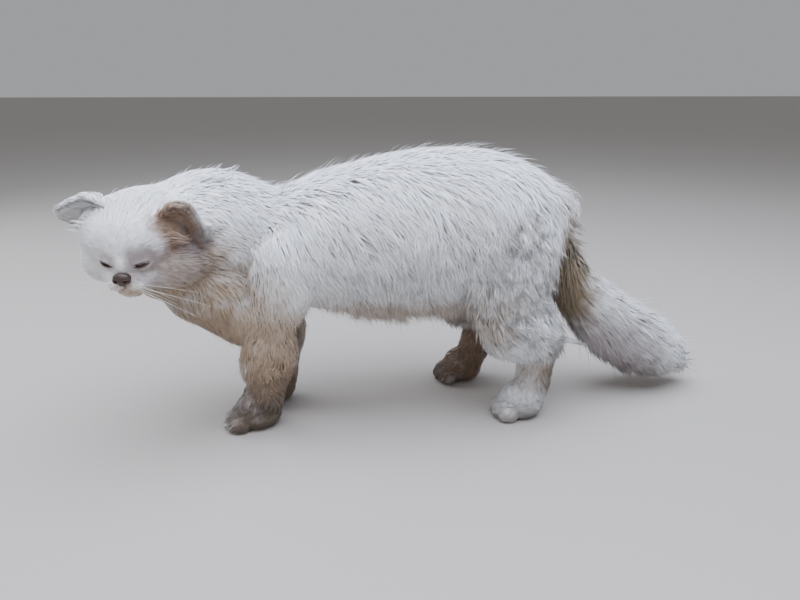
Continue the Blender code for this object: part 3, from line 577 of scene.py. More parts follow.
def leg_stations(stations, side, stride=0.0, spread=0.0):
    """A leg on one side of the body, its foot moved along X by stride and outwards by spread."""
    top, foot = stations[0][2], stations[-1][2]
    rows = []
    for x, y, z, across, deep in stations:
        share = (top - z) / (top - foot)
        rows.append((x + stride * share, side * (y + spread * share), z, across, deep))
    return rows


def legs():
    """Every leg, as its name, its stations and its paw's centre on the floor."""
    fore_x, fore_y = FOREPAW_CENTRE
    hind_x, hind_y = HIND_PAW_CENTRE
    right_hind = leg_stations(HIND_LEG, 1, RIGHT_HIND_STRIDE, RIGHT_HIND_SPREAD)
    right_spot = (hind_x + RIGHT_HIND_STRIDE, hind_y + RIGHT_HIND_SPREAD)
    return (
        ("left_fore", leg_stations(FORELEG, -1), (fore_x, -fore_y)),
        ("right_fore", leg_stations(FORELEG, 1, RIGHT_FORE_STRIDE), (fore_x + RIGHT_FORE_STRIDE, fore_y)),
        ("left_hind", leg_stations(HIND_LEG, -1), (hind_x, -hind_y)),
        ("right_hind", right_hind, right_spot),
    )


def toes(spot):
    """The centre of each toe of a paw."""
    x, y = spot
    for i in range(TOE_COUNT):
        spread = (i - (TOE_COUNT - 1) / 2) / (TOE_COUNT - 1)
        reach = PAW_HALF[0] - 0.0065 - 0.020 * spread**2
        yield Vector((x - reach, y + 2.1 * spread * PAW_HALF[1] * 0.68, TOE_RADIUS * 0.95)), spread


def both_sides(forms):
    """Each form on the left and on the right."""
    for (x, y, z), radii in forms:
        yield (x, y, z), radii
        yield (-x, y, z), radii


def cheeks():
    """Both cheeks. The coat of the right one lies flatter."""
    (x, y, z), radii = CHEEK
    return [CHEEK, ((-x * 0.80, y, z + 0.003), radii)]


def jowls():
    """Both jowls and the form that joins the left one to the neck. The right one is smaller, as the neck
    turns away from it."""
    (x, y, z), radii = JOWL
    right = ((-x * 0.74, y - 0.009, z + 0.002), [r - 0.003 for r in radii])
    return [JOWL, right, JOWL_BACK]


def add_head_forms(bm, forms, less=0.0):
    """Adds ellipsoids given in the head's frame, as (centre, radii), each less by the coat's depth."""
    place = head_matrix()
    for centre, radii in forms:
        add_ellipsoid(bm, place @ Vector(centre), [r - less for r in radii], place.to_3x3())


def facing(centre, ahead):
    """A frame at a centre in the head, its -Y along ahead, set in the design frame."""
    turn = Vector(ahead).to_track_quat("-Y", "Z").to_matrix().to_4x4()
    return head_matrix() @ Matrix.Translation(Vector(centre)) @ turn


def eye_place(side):
    """An eye's own frame, its gap between the lids along X; side is 1 for the left one."""
    x, y, z = EYE_CENTRE
    ahead = (side * math.sin(EYE_SPLAY), -math.cos(EYE_SPLAY), 0)
    return facing((side * x, y, z), ahead) @ Matrix.Rotation(side * LID_SLANT, 4, "Y")


def ear_place(name):
    """An ear's own frame: +Z runs to its tip, and its cup opens towards -Y."""
    root, ahead, opening = EARS[name]
    up = Vector(ahead).normalized()
    out = Vector(opening)
    out = (out - up * out.dot(up)).normalized()
    turn = Matrix((up.cross(out), -out, up)).transposed().to_4x4()
    return head_matrix() @ Matrix.Translation(root) @ turn @ Matrix.Diagonal((EAR_WIDTH[name], 1, 1, 1))


def ear_form(name, place, centre, radii, fold, point):
    """An ellipsoid whose upper half narrows to a rounded tip, which folds forwards."""
    bm = bmesh.new()
    made = bmesh.ops.create_uvsphere(bm, u_segments=48, v_segments=32, radius=1)["verts"]
    wide, deep, high = radii
    for vert in made:
        x, y, z = vert.co
        narrow = max(1 - z, 0.002) ** point / (1 + z) ** 0.5 if z > 0 else 1
        form = Vector(centre) + Vector((x * wide * narrow, y * deep, z * high))
        over = max(form.z - EAR_FOLD_FROM, 0) / (EAR_HALF[2] - EAR_FOLD_FROM)
        vert.co = place @ (form - Vector((0, fold * over**2, fold * 0.5 * over**2)))
    return scrap_from(bm, name)


def ear_cup(wall):
    """The centre and radii of the hollow in an ear."""
    wide, deep, high = EAR_HALF
    return Vector((0, -deep * 0.78, 0.001)), (wide - wall * 1.3, deep * 1.1, high - wall * 2.0)


def add_ear(bm, name, wall):
    """Adds an ear with its hollow cup."""
    place, tip = ear_place(name), (EAR_FOLD[name], EAR_POINT[name])
    made = ear_form(name, place, (0, 0, 0), EAR_HALF, *tip)
    combined(made, "DIFFERENCE", ear_form(name + "_cup", place, *ear_cup(wall), *tip))
    bm.from_mesh(made.data)
    bpy.data.objects.remove(made)


def lid_gap(side, half_opening):
    """The almond-shaped way through the lids of a squinting eye."""
    place = eye_place(side)
    rings = []
    for y, spread in ((-EYE_RADIUS * 0.6, 0.80), (-EYE_RADIUS - 3 * LID_DEPTH, 1.15)):
        ring = []
        for i in range(32):
            a = math.tau * i / 32
            # The gap is tallest by the inner corner.
            u = math.cos(a)
            v = math.sin(a) * (1 - 0.35 * u**2) * (1 - 0.5 * side * u)
            x, z = LID_HALF_WIDTH * spread * u, half_opening * spread * v - LID_GAP_DROP
            ring.append(place @ Vector((x, y, z)))
        rings.append(ring)
    bm = bmesh.new()
    add_loft(bm, rings)
    return scrap_from(bm, "lid_gap")


def eye_socket(side):
    """The hollow that an eye sits in."""
    bm = bmesh.new()
    add_ellipsoid(bm, (0, 0, 0), [EYE_RADIUS + 0.0002] * 3)
    bmesh.ops.transform(bm, matrix=eye_place(side), verts=bm.verts)
    return scrap_from(bm, "socket")


def body_flesh(shape):
    """The body without its coat, as one closed mesh with finer paws."""
    bm = bmesh.new()
    up = (0, 0, 1)
    add_limb(bm, torso_stations(shape), up)
    add_limb(bm, bared(NECK, neck_coats(NECK, shape)), up)
    add_limb(bm, bared(RUFF, neck_coats(RUFF, shape)), up)
    add_limb(bm, bared(TAIL, TAIL_COAT, TAIL_FLESH), (0.3, 0, 1))
    add_head_forms(bm, [*SKULL_FORMS, *cheeks()], SKULL_COAT)
    add_head_forms(bm, jowls(), JOWL_COAT)
    for _, stations, _ in legs():
        coat = [shape.leg_coat if row[2] > SHANK_TOP else shape.shank_coat for row in stations]
        add_limb(bm, bared(stations, coat), (-1, 0, 0))
    body = melted(bm, "body", BODY_VOXEL, 6)
    for name, stations, spot in legs():
        bm = bmesh.new()
        x, y = spot
        # The ball of the paw, its wrist and its toes, each a little inside the fur.
        radii = [half - 0.0016 for half in PAW_HALF]
        add_ellipsoid(bm, Vector((x + 0.003, y, PAW_HALF[2] - 0.001)), radii)
        add_ellipsoid(bm, Vector((x + 0.005, y, 0.024)), (0.0185, 0.0165, 0.0150))
        for toe, _ in toes(spot):
            size = TOE_RADIUS - 0.0012
            add_ellipsoid(bm, toe, (size * 1.25, size * 0.84, size), fineness=20)
        add_limb(bm, bared(stations[-3:], shape.shank_coat), (-1, 0, 0))
        combined(body, "UNION", melted(bm, name, PAW_VOXEL, 7))
    return body


def head_flesh(shape):
    """The head without its fur, with ears, muzzle, lids and eye sockets, and the start of the neck."""
    less = shape.face_coat
    bm = bmesh.new()
    add_head_forms(bm, [*SKULL_FORMS, MUZZLE, BRIDGE, *cheeks()], less)
    add_head_forms(bm, jowls(), JOWL_COAT)
    add_limb(bm, bared(NECK[2:], neck_coats(NECK[2:], shape)), (0, 0, 1))
    skull = melted(bm, "skull", SKULL_VOXEL, 30)
    bm = bmesh.new()
    bm.from_mesh(skull.data)
    bpy.data.objects.remove(skull)
    lid = EYE_RADIUS + LID_DEPTH - 0.0004
    add_head_forms(bm, [CHIN, *both_sides([BROW, PAD])], less)
    add_head_forms(bm, both_sides([(EYE_CENTRE, (lid, lid, lid))]))
    for name in EARS:
        add_ear(bm, name, shape.ear_wall)
    head = melted(bm, "head", HEAD_VOXEL, 5)
    for side in (1, -1):
        combined(head, "DIFFERENCE", eye_socket(side))
        combined(head, "DIFFERENCE", lid_gap(side, shape.lid_opening))
    return head


def mouth_points():
    """Points along the mouth and the groove above it, in the head's frame without their depth."""
    left = smoothed_stations(MOUTH_LINE, 8)
    return np.vstack([left, left * (-1, 1)])


class Hide:
    """The skin's points with the coat that grows at each: its lie, length, depth and habit."""

    def __init__(self, mesh, shape):
        self.points = points_of(mesh)
        mesh.calc_loop_triangles()
        self.faces = np.empty(len(mesh.loop_triangles) * 3, np.int64)
        mesh.loop_triangles.foreach_get("vertices", self.faces)
        self.faces = self.faces.reshape(-1, 3)
        corners = self.points[self.faces]
        cross = np.cross(corners[:, 1] - corners[:, 0], corners[:, 2] - corners[:, 0])
        self.areas = np.linalg.norm(cross, axis=1) / 2
        self.normals = np.zeros_like(self.points)
        for k in range(3):
            np.add.at(self.normals, self.faces[:, k], cross)
        self.normals = unit(self.normals)
        self.tree = BVHTree.FromPolygons(self.points.tolist(), self.faces.tolist())
        self.find_rails(shape)
        self.grow(shape)

    def find_rails(self, shape):
        """The torso and each limb, as (kind, stations) in the direction that the hair runs."""
        self.rails = [("torso", smoothed_stations(torso_stations(shape)))]
        self.rails.append(("neck", smoothed_stations(NECK[::-1])))
        self.rails.append(("ruff", smoothed_stations(RUFF)))
        self.rails.append(("tail", smoothed_stations(TAIL)))
        self.rails += [(name[-4:], smoothed_stations(stations)) for name, stations, _ in legs()]

    def nearest_on(self, rows):
        """How many radii away a rail is, which way it runs there, and how far along it that is."""
        centres, radii = rows[:, :3], np.minimum(rows[:, 3], rows[:, 4])
        best = np.full(len(self.points), 1e9)
        index = np.zeros(len(self.points), int)
        for i, (centre, radius) in enumerate(zip(centres, radii)):
            away = np.linalg.norm(self.points - centre, axis=1) / radius
            closer = away < best
            best[closer], index[closer] = away[closer], i
        along = unit(np.gradient(centres, axis=0))
        return best, along[index], index / (len(rows) - 1)

    def grow(self, shape):
        """Blends each zone's coat over the skin, and trims it round the eyes, nose and mouth."""
        zones = {name: np.array(values) for name, values in ZONES.items()}
        z, up = self.points[:, 2:], self.normals[:, 2:]
        down = np.array((0, 0, -1.0))
        habits, lies, aways = [], [], []
        for kind, rows in self.rails:
            away, along, share = self.nearest_on(rows)
            if kind == "torso":
                back, belly = smooth_step(up, 0.15, 0.85), smooth_step(-up, 0.2, 0.7)
                habit = zones["flank"] * (1 - back - belly) + zones["back"] * back + zones["belly"] * belly
                lie = along * (0.36 + 0.5 * back + 0.2 * belly) + down
            elif kind in ("neck", "ruff"):
                habit = np.tile(zones["neck"], (len(z), 1))
                habit[:, DEPTH] *= 1 - 0.45 * headward(self.points[:, 0])
                lie = along + down * (0.6 if kind == "neck" else 1.4)
            elif kind == "tail":
                habit = np.tile(zones["tail"], (len(z), 1))
                habit[:, LENGTH] *= 0.90 + 0.20 * share
                habit[:, FREE] += 0.20 * share
                lie = along * 1.6 + down * 0.15
                away = away * 1.15
            else:
                paw = 1 - smooth_step(z, 0.014, 0.034)
                lower = zones["shank"] * (1 - paw) + zones["paw"] * paw
                if kind == "fore":
                    upper = smooth_step(z, 0.040, 0.180)
                    habit = zones["shoulder"] * upper + lower * (1 - upper)
                else:
                    upper = smooth_step(z, 0.072, 0.122)
                    habit = zones["thigh"] * upper + lower * (1 - upper)
                lie = along + np.array((0.30, 0, -0.25)) * upper + np.array((-1.7, 0, 0)) * paw
            habits.append(habit)
            lies.append(lie)
            aways.append(away)
        self.grow_head(zones, habits, lies, aways)
        ratios = np.array(aways)
        weights = np.exp(-7 * (ratios - ratios.min(axis=0)))
        weights /= weights.sum(axis=0)
        habit = sum(w[:, None] * h for w, h in zip(weights, habits))
        lie = sum(w[:, None] * unit(l) for w, l in zip(weights, lies))
        self.leading = ratios.argmin(axis=0)
        self.grow_ears(zones, habit, lie, shape)
        self.trim(habit, shape)
        self.length, self.depth, self.width, self.clump, self.curl, self.free, self.density = habit.T
        lie -= self.normals * (lie * self.normals).sum(axis=1, keepdims=True)
        self.lie = unit(lie)

    def grow_head(self, zones, habits, lies, aways):
        """Adds the head's coat: short fur on the face, longer behind the cheeks, longest at the throat."""
        inverse = head_matrix().inverted()
        local = transformed(self.points, inverse)
        self.local = local
        centre, radii = np.array(SKULL_FORMS[0][0]), np.array((0.052, 0.052, 0.042))
        aways.append(np.linalg.norm((local - centre) / radii, axis=1) * 0.92)
        slant = local[:, 1] + 0.35 * np.abs(local[:, 0]) - 0.35 * local[:, 2]
        behind = smooth_step(slant, 0.002, 0.034)[:, None]
        under = behind * smooth_step(-self.normals[:, 2:], -0.2, 0.5)
        cheek = zones["jowl"] * (1 - under) + zones["throat"] * under
        habits.append(zones["face"] * (1 - behind) + cheek * behind)
        outwards = unit(local - np.array((0, -0.060, 0.000)))
        swept = outwards + np.array((0, 0.25, 0))
        down = np.array(inverse.to_3x3() @ Vector((0, 0, -1)))
        swept = swept + down * behind * 0.9
        lies.append(swept @ np.array(head_matrix().to_3x3()).T)

    def grow_ears(self, zones, habit, lie, shape):
        """Gives the ears short fur that runs to their tips, and sparse longer hair in their cups."""
        self.in_cup = np.zeros(len(self.points))
        centre, hollow = ear_cup(shape.ear_wall)
        for name in EARS:
            place = ear_place(name)
            local = transformed(self.points, place.inverted())
            over = (local[:, 2] - EAR_FOLD_FROM) / (EAR_HALF[2] - EAR_FOLD_FROM)
            over = np.clip(over, 0, 1) ** 2
            local = local + np.outer(over * EAR_FOLD[name], (0, 1, 0.5))
            turned = self.normals @ np.array(place.to_3x3())
            reach = np.linalg.norm(local / (np.array(EAR_HALF) * 1.10), axis=1)
            on_ear = (1 - smooth_step(reach, 0.96, 1.06)) * smooth_step(local[:, 2], -0.012, 0.004)
            cup = np.linalg.norm((local - np.array(centre)) / np.array(hollow), axis=1)
            inside = (cup < 1.10) & (reach < 1.0) & (on_ear > 0.05)
            inside &= (turned[:, 1] < 0.35) & (local[:, 1] > -EAR_HALF[1] * 1.02)
            # The right cup shows less bare skin.
            self.in_cup = np.maximum(self.in_cup, inside * (1.0 if name == "left" else 0.25))
            share = on_ear[:, None]
            habit[:] = habit * (1 - share) + zones["ear"] * share
            habit[inside] = zones["ear_cup"]
            tipward = np.array(place.to_3x3() @ Vector((0, 0.15, 1)))
            outward = np.array(place.to_3x3() @ Vector((0.5, -0.5, 0.7)))
            lie[:] = lie * (1 - share) + tipward * share * 1.5
            lie[inside] = outward

    def trim(self, habit, shape):
        """Shortens the fur by the lids, nose and mouth, and leaves their edges bare."""
        gap = np.full(len(self.points), 1.0)
        self.bare = np.zeros(len(self.points))
        for side in (1, -1):
            near = transformed(self.points, eye_place(side).inverted())
            across = near[:, 0] / (LID_HALF_WIDTH * 1.12)
            high = (near[:, 2] + LID_GAP_DROP) / (shape.lid_opening + 0.0011)
            almond = np.hypot(across, high)
            front = near[:, 1] < 0
            edge = np.where(front, (almond - 1) * 0.004, 1.0)
            buried = np.linalg.norm(near, axis=1) < EYE_RADIUS + 0.0009
            gap = np.minimum(gap, np.where(buried, -1, edge))
            self.bare = np.maximum(self.bare, np.where(front, 1 - smooth_step(almond, 1.0, 1.35), 0))
        local = self.local
        from_nose = local - np.array(NOSE_CENTRE)
        nose = np.linalg.norm(from_nose / (np.array(NOSE_HALF) * (1.06, 1.9, 1.06)), axis=1)
        gap = np.minimum(gap, (nose - 1) * 0.006)
        flat = np.full(len(self.points), 1.0)
        front = (local[:, 1] < -0.028) & (local[:, 2] < 0)
        for x, z in mouth_points():
            flat = np.minimum(flat, np.hypot(local[:, 0] - x, local[:, 2] - z))
        flat[~front] = 1.0
        self.mouth = flat
        gap = np.minimum(gap, flat - 0.0005)
        self.bare = np.maximum(self.bare, 1 - smooth_step(flat, 0.0005, 0.0013))
        habit[:, DENSITY] *= gap > 0
        by_edge = 0.0022 + 0.55 * np.maximum(gap, 0)
        by_nose = 0.0028 + 0.22 * np.maximum(np.linalg.norm(from_nose, axis=1) - 0.009, 0)
        short = np.minimum(habit[:, LENGTH], np.minimum(by_edge, by_nose))
        habit[:, DEPTH] = np.minimum(habit[:, DEPTH], short * 0.35)
        habit[:, LENGTH] = short

    def spots(self, count, rng, wanted):
        """Random places spread over the skin by area and density, where wanted is set."""
        share = (self.density * wanted)[self.faces].mean(axis=1) * self.areas
        chosen = rng.choice(len(self.faces), count, p=share / share.sum())
        u, v = rng.random((2, count))
        over = u + v > 1
        u[over], v[over] = 1 - u[over], 1 - v[over]
        weights = np.stack([1 - u - v, u, v], axis=1)
        return chosen, weights

    def blend(self, values, chosen, weights):
        """A field's values at places inside triangles."""
        picked = values[self.faces[chosen]]
        shape = weights.shape + (1,) * (picked.ndim - 2)
        return (picked * weights.reshape(shape)).sum(axis=1)

    def nearest(self, spots):
        """The nearest place on the skin to each spot, with the normal and the lie there."""
        found = [self.tree.find_nearest(spot) for spot in spots.tolist()]
        place = np.array([item[0] for item in found])
        index = np.array([item[2] for item in found])
        third = np.full((len(index), 3), 1 / 3)
        return place, unit(self.blend(self.normals, index, third)), unit(self.blend(self.lie, index, third))

    def unwrap(self, chosen, weights):
        """A place for each spot on an unwrap of the skin: one strip for each limb, along and round it."""
        spots = self.blend(self.points, chosen, weights)
        rail = self.leading[self.faces[chosen, 0]]
        found = np.zeros((len(spots), 2))
        strips = len(self.rails) + 1
        for i in range(strips):
            mine = rail == i
            if not mine.any():
                continue
            if i < len(self.rails):
                rows = self.rails[i][1]
                centres = rows[:, :3]
            else:
                centres = np.array([head_spot(0, -0.06, 0), head_spot(0, 0.06, 0)])
                centres = centres[0] + (centres[1] - centres[0]) * np.linspace(0, 1, 24)[:, None]
            away = np.linalg.norm(spots[mine][:, None] - centres[None], axis=2)
            step = away.argmin(axis=1)
            axis = unit(centres[-1] - centres[0])
            side = unit(np.cross(axis, (0.1, 0.2, 0.97)))
            top = np.cross(side, axis)
            offset = spots[mine] - centres[step]
            along = (step + np.clip((offset @ axis) / 0.01, -0.5, 0.5) + 0.5) / len(centres)
            angle = np.arctan2(offset @ side, offset @ top) / math.tau + 0.5
            found[mine, 0] = (i + 0.03 + 0.94 * angle) / strips
            found[mine, 1] = 0.01 + 0.98 * along
        return found


def turned(lie, normal, angle):
    """The lie turned about the normal."""
    side = np.cross(normal, lie)
    return lie * np.cos(angle)[:, None] + side * np.sin(angle)[:, None]


class Strands:
    """Paths of tufts over the skin, from root to tip, each of as many pieces as steps says. They stray
    from the lie by wild, and stand off by lift times the coat's depth."""

    def __init__(self, hide, chosen, weights, rng, steps, coat, wild, lift):
        def field(values):
            return hide.blend(values, chosen, weights)

        self.chosen, self.weights = chosen, weights
        self.root = field(hide.points)
        self.normal = unit(field(hide.normals))
        count = len(self.root)
        self.length = field(hide.length) * coat.length_share * rng.uniform(0.75, 1.12, count)
        # Straight coat is all about equally high, and wavy coat uneven.
        even = 0.17 * (1 - smooth_step(field(hide.curl), 0.5, 1.0))
        self.rise = field(hide.depth) * rng.uniform(0.70 + even, 1.12 - even / 3, count) * lift
        self.clump = np.minimum(field(hide.clump) * rng.uniform(0.35, 1.2, count), 0.92)
        self.curl, self.free = field(hide.curl), np.minimum(field(hide.free) * lift**2, 1)
        # Straight coat is lit as one surface, and wavy locks by their own sides as well.
        self.own = 0.03 + 0.38 * np.minimum(self.curl, MOST_CURL) ** 1.5
        self.width = field(hide.width) * coat.tuft_width * rng.uniform(0.75, 1.25, count)
        # The lie swirls in patches 36 mm across, with smaller ones of 13 mm.
        spots = [Vector(spot) for spot in self.root.tolist()]
        swirl = np.array([noise.noise(spot * 28) + 0.5 * noise.noise(spot * 75) for spot in spots])
        lie = unit(field(hide.lie))
        self.swing = swirl * 0.55 * np.minimum(self.curl + 0.3, 1.2) + rng.normal(0, wild, count)
        lie = turned(lie, self.normal, self.swing)
        self.lie = unit(lie - self.normal * (lie * self.normal).sum(axis=1, keepdims=True))
        self.walk(hide, steps)

    def walk(self, hide, steps):
        """Lays each path over the skin, rising to its height, and lets long ones hang free."""
        step = (self.length / steps)[:, None]
        here, way = self.root, self.lie
        self.path = [self.root - self.normal * np.minimum(self.length * 0.1, ROOT_DEPTH)[:, None]]
        start = self.lie + self.normal * (self.rise / self.length)[:, None] * 1.2
        heavy = smooth_step(self.curl, *HANG_CURLS)
        hang = 0.6 * self.free * heavy
        start = unit(start - np.array((0, 0, 1)) * hang[:, None])
        for i in range(1, steps + 1):
            share = i / steps
            near, out, flow = hide.nearest(here + way * step)
            flow = turned(flow, out, self.swing)
            way = unit(way * 0.4 + flow * 0.6)
            way = unit(way - out * (way * out).sum(axis=1, keepdims=True))
            here = near
            height = (self.rise * (1 - (1 - share) ** 1.7))[:, None]
            hugging = near + out * height
            hanging = self.root + start * self.length[:, None] * share
            hanging[:, 2] -= self.length * 0.12 * share**2 * heavy
            loose = self.free[:, None] * (0.35 + 0.65 * share)
            spot = hugging * (1 - loose) + hanging * loose
            self.path.append(spot)
        self.path = np.stack(self.path, axis=1)

    def gather(self, guides, share):
        """Draws the tips of the tufts towards those of the nearest guides, so that they form locks."""
        tree = KDTree(len(guides.root))
        for i, spot in enumerate(guides.root.tolist()):
            tree.insert(spot, i)
        tree.balance()
        mine = np.array([tree.find(spot)[1] for spot in self.root.tolist()])
        steps = np.linspace(0, 1, self.path.shape[1])
        pull = (self.clump * share)[:, None] * steps[None] ** 1.3
        self.path = self.path * (1 - pull[..., None]) + guides.path[mine] * pull[..., None]

    def wave(self, amount):
        """Bends each path from side to side, in step with its neighbours."""
        side = np.cross(self.normal, self.lie)
        spots = [Vector(spot) * 55 + Vector((7, 3, 1)) for spot in self.root.tolist()]
        phase = np.array([noise.noise(spot) for spot in spots]) * 9
        steps = np.linspace(0, 1, self.path.shape[1])
        turns = self.length / WAVE_LENGTH
        bend = np.sin(phase[:, None] + steps[None] * turns[:, None] * math.tau) - np.sin(phase)[:, None]
        reach = (self.curl * np.minimum(self.length * 0.065, 0.0028) * amount)[:, None] * steps[None] ** 0.8
        self.path = self.path + side[:, None] * (bend * reach)[..., None]

    def stay_above(self, floor):
        """Lifts each path, but for its root, so far that the whole tuft is above the floor."""
        lowest = (floor + self.width / 2)[:, None]
        self.path[:, 1:, 2] = np.maximum(self.path[:, 1:, 2], lowest)


def tuft_faces(rings):
    """The triangles of one closed three-sided tuft."""
    faces = [(0, 2, 1)]
    for r in range(rings - 1):
        for i in range(3):
            a, b = 3 * r + i, 3 * r + (i + 1) % 3
            faces += [(a, b, b + 3), (a, b + 3, a + 3)]
    tip = 3 * rings
    last = 3 * (rings - 1)
    faces += [(last + i, last + (i + 1) % 3, tip) for i in range(3)]
    return np.array(faces)[:, ::-1]


def tuft_mesh(name, strands, mine, unwrap, rng):
    """One mesh of the strands numbered in mine, each a closed, tapering, three-sided blade."""
    path = strands.path[mine]
    count, knots, _ = path.shape
    rings = knots - 1
    along = unit(np.gradient(path, axis=1))
    side = unit(np.cross(along, strands.normal[mine][:, None]))
    lift = np.cross(side, along)
    tilt = rng.normal(0, 0.38, count)[:, None, None]
    side, lift = side * np.cos(tilt) + lift * np.sin(tilt), lift * np.cos(tilt) - side * np.sin(tilt)
    taper = np.interp(np.linspace(0, 1, knots)[:rings], *TUFT_TAPER)
    half = strands.width[mine][:, None] * taper[None] / 2
    size = rings * 3 + 1
    points = np.empty((count, size, 3))
    normals = np.empty_like(points)
    for k, (a, b) in enumerate(TUFT_SECTION):
        offset = side[:, :rings] * a + lift[:, :rings] * b
        points[:, k : rings * 3 : 3] = path[:, :rings] + offset * half[..., None]
        normals[:, k : rings * 3 : 3] = unit(offset)
    points[:, -1] = path[:, -1]
    normals[:, -1] = along[:, -1]
    faces = tuft_faces(rings)[None] + (np.arange(count) * size)[:, None, None]
    faces = faces.reshape(-1, 3)
    mesh = mesh_from(name, points.reshape(-1, 3), faces)
    steps = np.concatenate([np.repeat(np.arange(rings) / rings, 3), [1.0]])
    put_attribute(mesh, "along", np.tile(steps, count))
    put_attribute(mesh, "tint", np.repeat(rng.random(count), size))
    # How deep the painted shade at each tuft's root and between the locks goes: more in wavy coat.
    shade = 0.01 + 0.20 * np.minimum(strands.curl[mine], MOST_CURL) ** 2
    put_attribute(mesh, "shade", np.repeat(shade, size))
    across = np.concatenate([np.tile((0.0, 0.5, 1.0), rings), [0.5]])
    patch = np.stack([across, steps], axis=1) * TUFT_PATCH
    corners = unwrap[mine][:, None] + patch[None] - TUFT_PATCH / 2
    uvs = corners.reshape(-1, 2)[faces.ravel()]
    mesh.uv_layers.new(name="OFBake").data.foreach_set("uv", uvs.astype(np.float32).ravel())
    own = strands.own[mine][:, None, None]
    soft = normals * own + strands.normal[mine][:, None] * (1 - own)
    mesh.normals_split_custom_set_from_vertices(unit(soft).reshape(-1, 3).tolist())
    return mesh


def mesh_from(name, points, faces):
    """A mesh of triangles, shaded smooth."""
    mesh = bpy.data.meshes.new(name)
    mesh.vertices.add(len(points))
    mesh.vertices.foreach_set("co", points.astype(np.float32).ravel())
    mesh.loops.add(faces.size)
    mesh.loops.foreach_set("vertex_index", faces.astype(np.int32).ravel())
    mesh.polygons.add(len(faces))
    mesh.polygons.foreach_set("loop_start", np.arange(0, faces.size, 3, dtype=np.int32))
    mesh.update(calc_edges=True)
    mesh.polygons.foreach_set("use_smooth", np.ones(len(faces), bool))
    return mesh


def put_attribute(mesh, name, values):
    """Gives each point of a mesh a number that its material reads."""
    mesh.attributes.new(name, "FLOAT", "POINT").data.foreach_set("value", values.astype(np.float32))


def add(tree, kind, inputs=(), **settings):
    """Adds a node with its settings. An input that is a socket is linked, and any other is its value."""
    made = tree.nodes.new(kind)
    for name, value in settings.items():
        setattr(made, name, value)
    for name, value in dict(inputs).items():
        if isinstance(value, bpy.types.NodeSocket):
            tree.links.new(value, made.inputs[name])
        else:
            made.inputs[name].default_value = value
    return made


def new_material(name):
    """An empty material with a Principled shader, as its tree and the shader."""
    made = bpy.data.materials.new(name)
    made.use_nodes = True
    made.node_tree.nodes.clear()
    shader = add(made.node_tree, "ShaderNodeBsdfPrincipled")
    add(made.node_tree, "ShaderNodeOutputMaterial", {"Surface": shader.outputs[0]})
    return made, made.node_tree, shader


def coat_marks_and_shade(colours):
    """The coat's colour over the body: clean white, with cream, grey and soiled places, and painted shade
    on the underside, legs and tail, below the left ear and round the eyes.
    """
    group = bpy.data.node_groups.get("coat_marks_and_shade")
    if group:
        return group
    group = bpy.data.node_groups.new("coat_marks_and_shade", "ShaderNodeTree")
    group.interface.new_socket("Color", in_out="OUTPUT", socket_type="NodeSocketColor")
    place = add(group, "ShaderNodeTexCoord").outputs["Object"]
    # Soil and shade gather in blotches about 17 mm across.
    blotch = add(group, "ShaderNodeTexNoise", {"Vector": place, "Scale": 60.0, "Detail": 3.0}).outputs["Fac"]
    colour = add(group, "ShaderNodeRGB").outputs[0]
    colour.default_value = (*colours.coat, 1)
    for centre, radii, code, strength in STAINS_AND_SHADE:
        offset = add(group, "ShaderNodeVectorMath", {0: place, 1: centre}, operation="SUBTRACT").outputs[0]
        scaled = add(group, "ShaderNodeVectorMath", {0: offset, 1: radii}, operation="DIVIDE").outputs[0]
        reach = add(group, "ShaderNodeVectorMath", {0: scaled}, operation="LENGTH").outputs["Value"]
        ragged = add(
            group, "ShaderNodeMath", {0: blotch, 1: 0.9, 2: reach}, operation="MULTIPLY_ADD"
        ).outputs[0]
        share = add(
            group, "ShaderNodeMapRange",
            {"Value": ragged, "From Min": 0.95, "From Max": 1.75, "To Min": strength, "To Max": 0.0},
            interpolation_type="SMOOTHSTEP",
        ).outputs[0]
        mixed = {0: share, 6: colour, 7: (*linear(code), 1)}
        colour = add(group, "ShaderNodeMix", mixed, data_type="RGBA").outputs[2]
    add(group, "NodeGroupOutput", {0: colour})
    return group


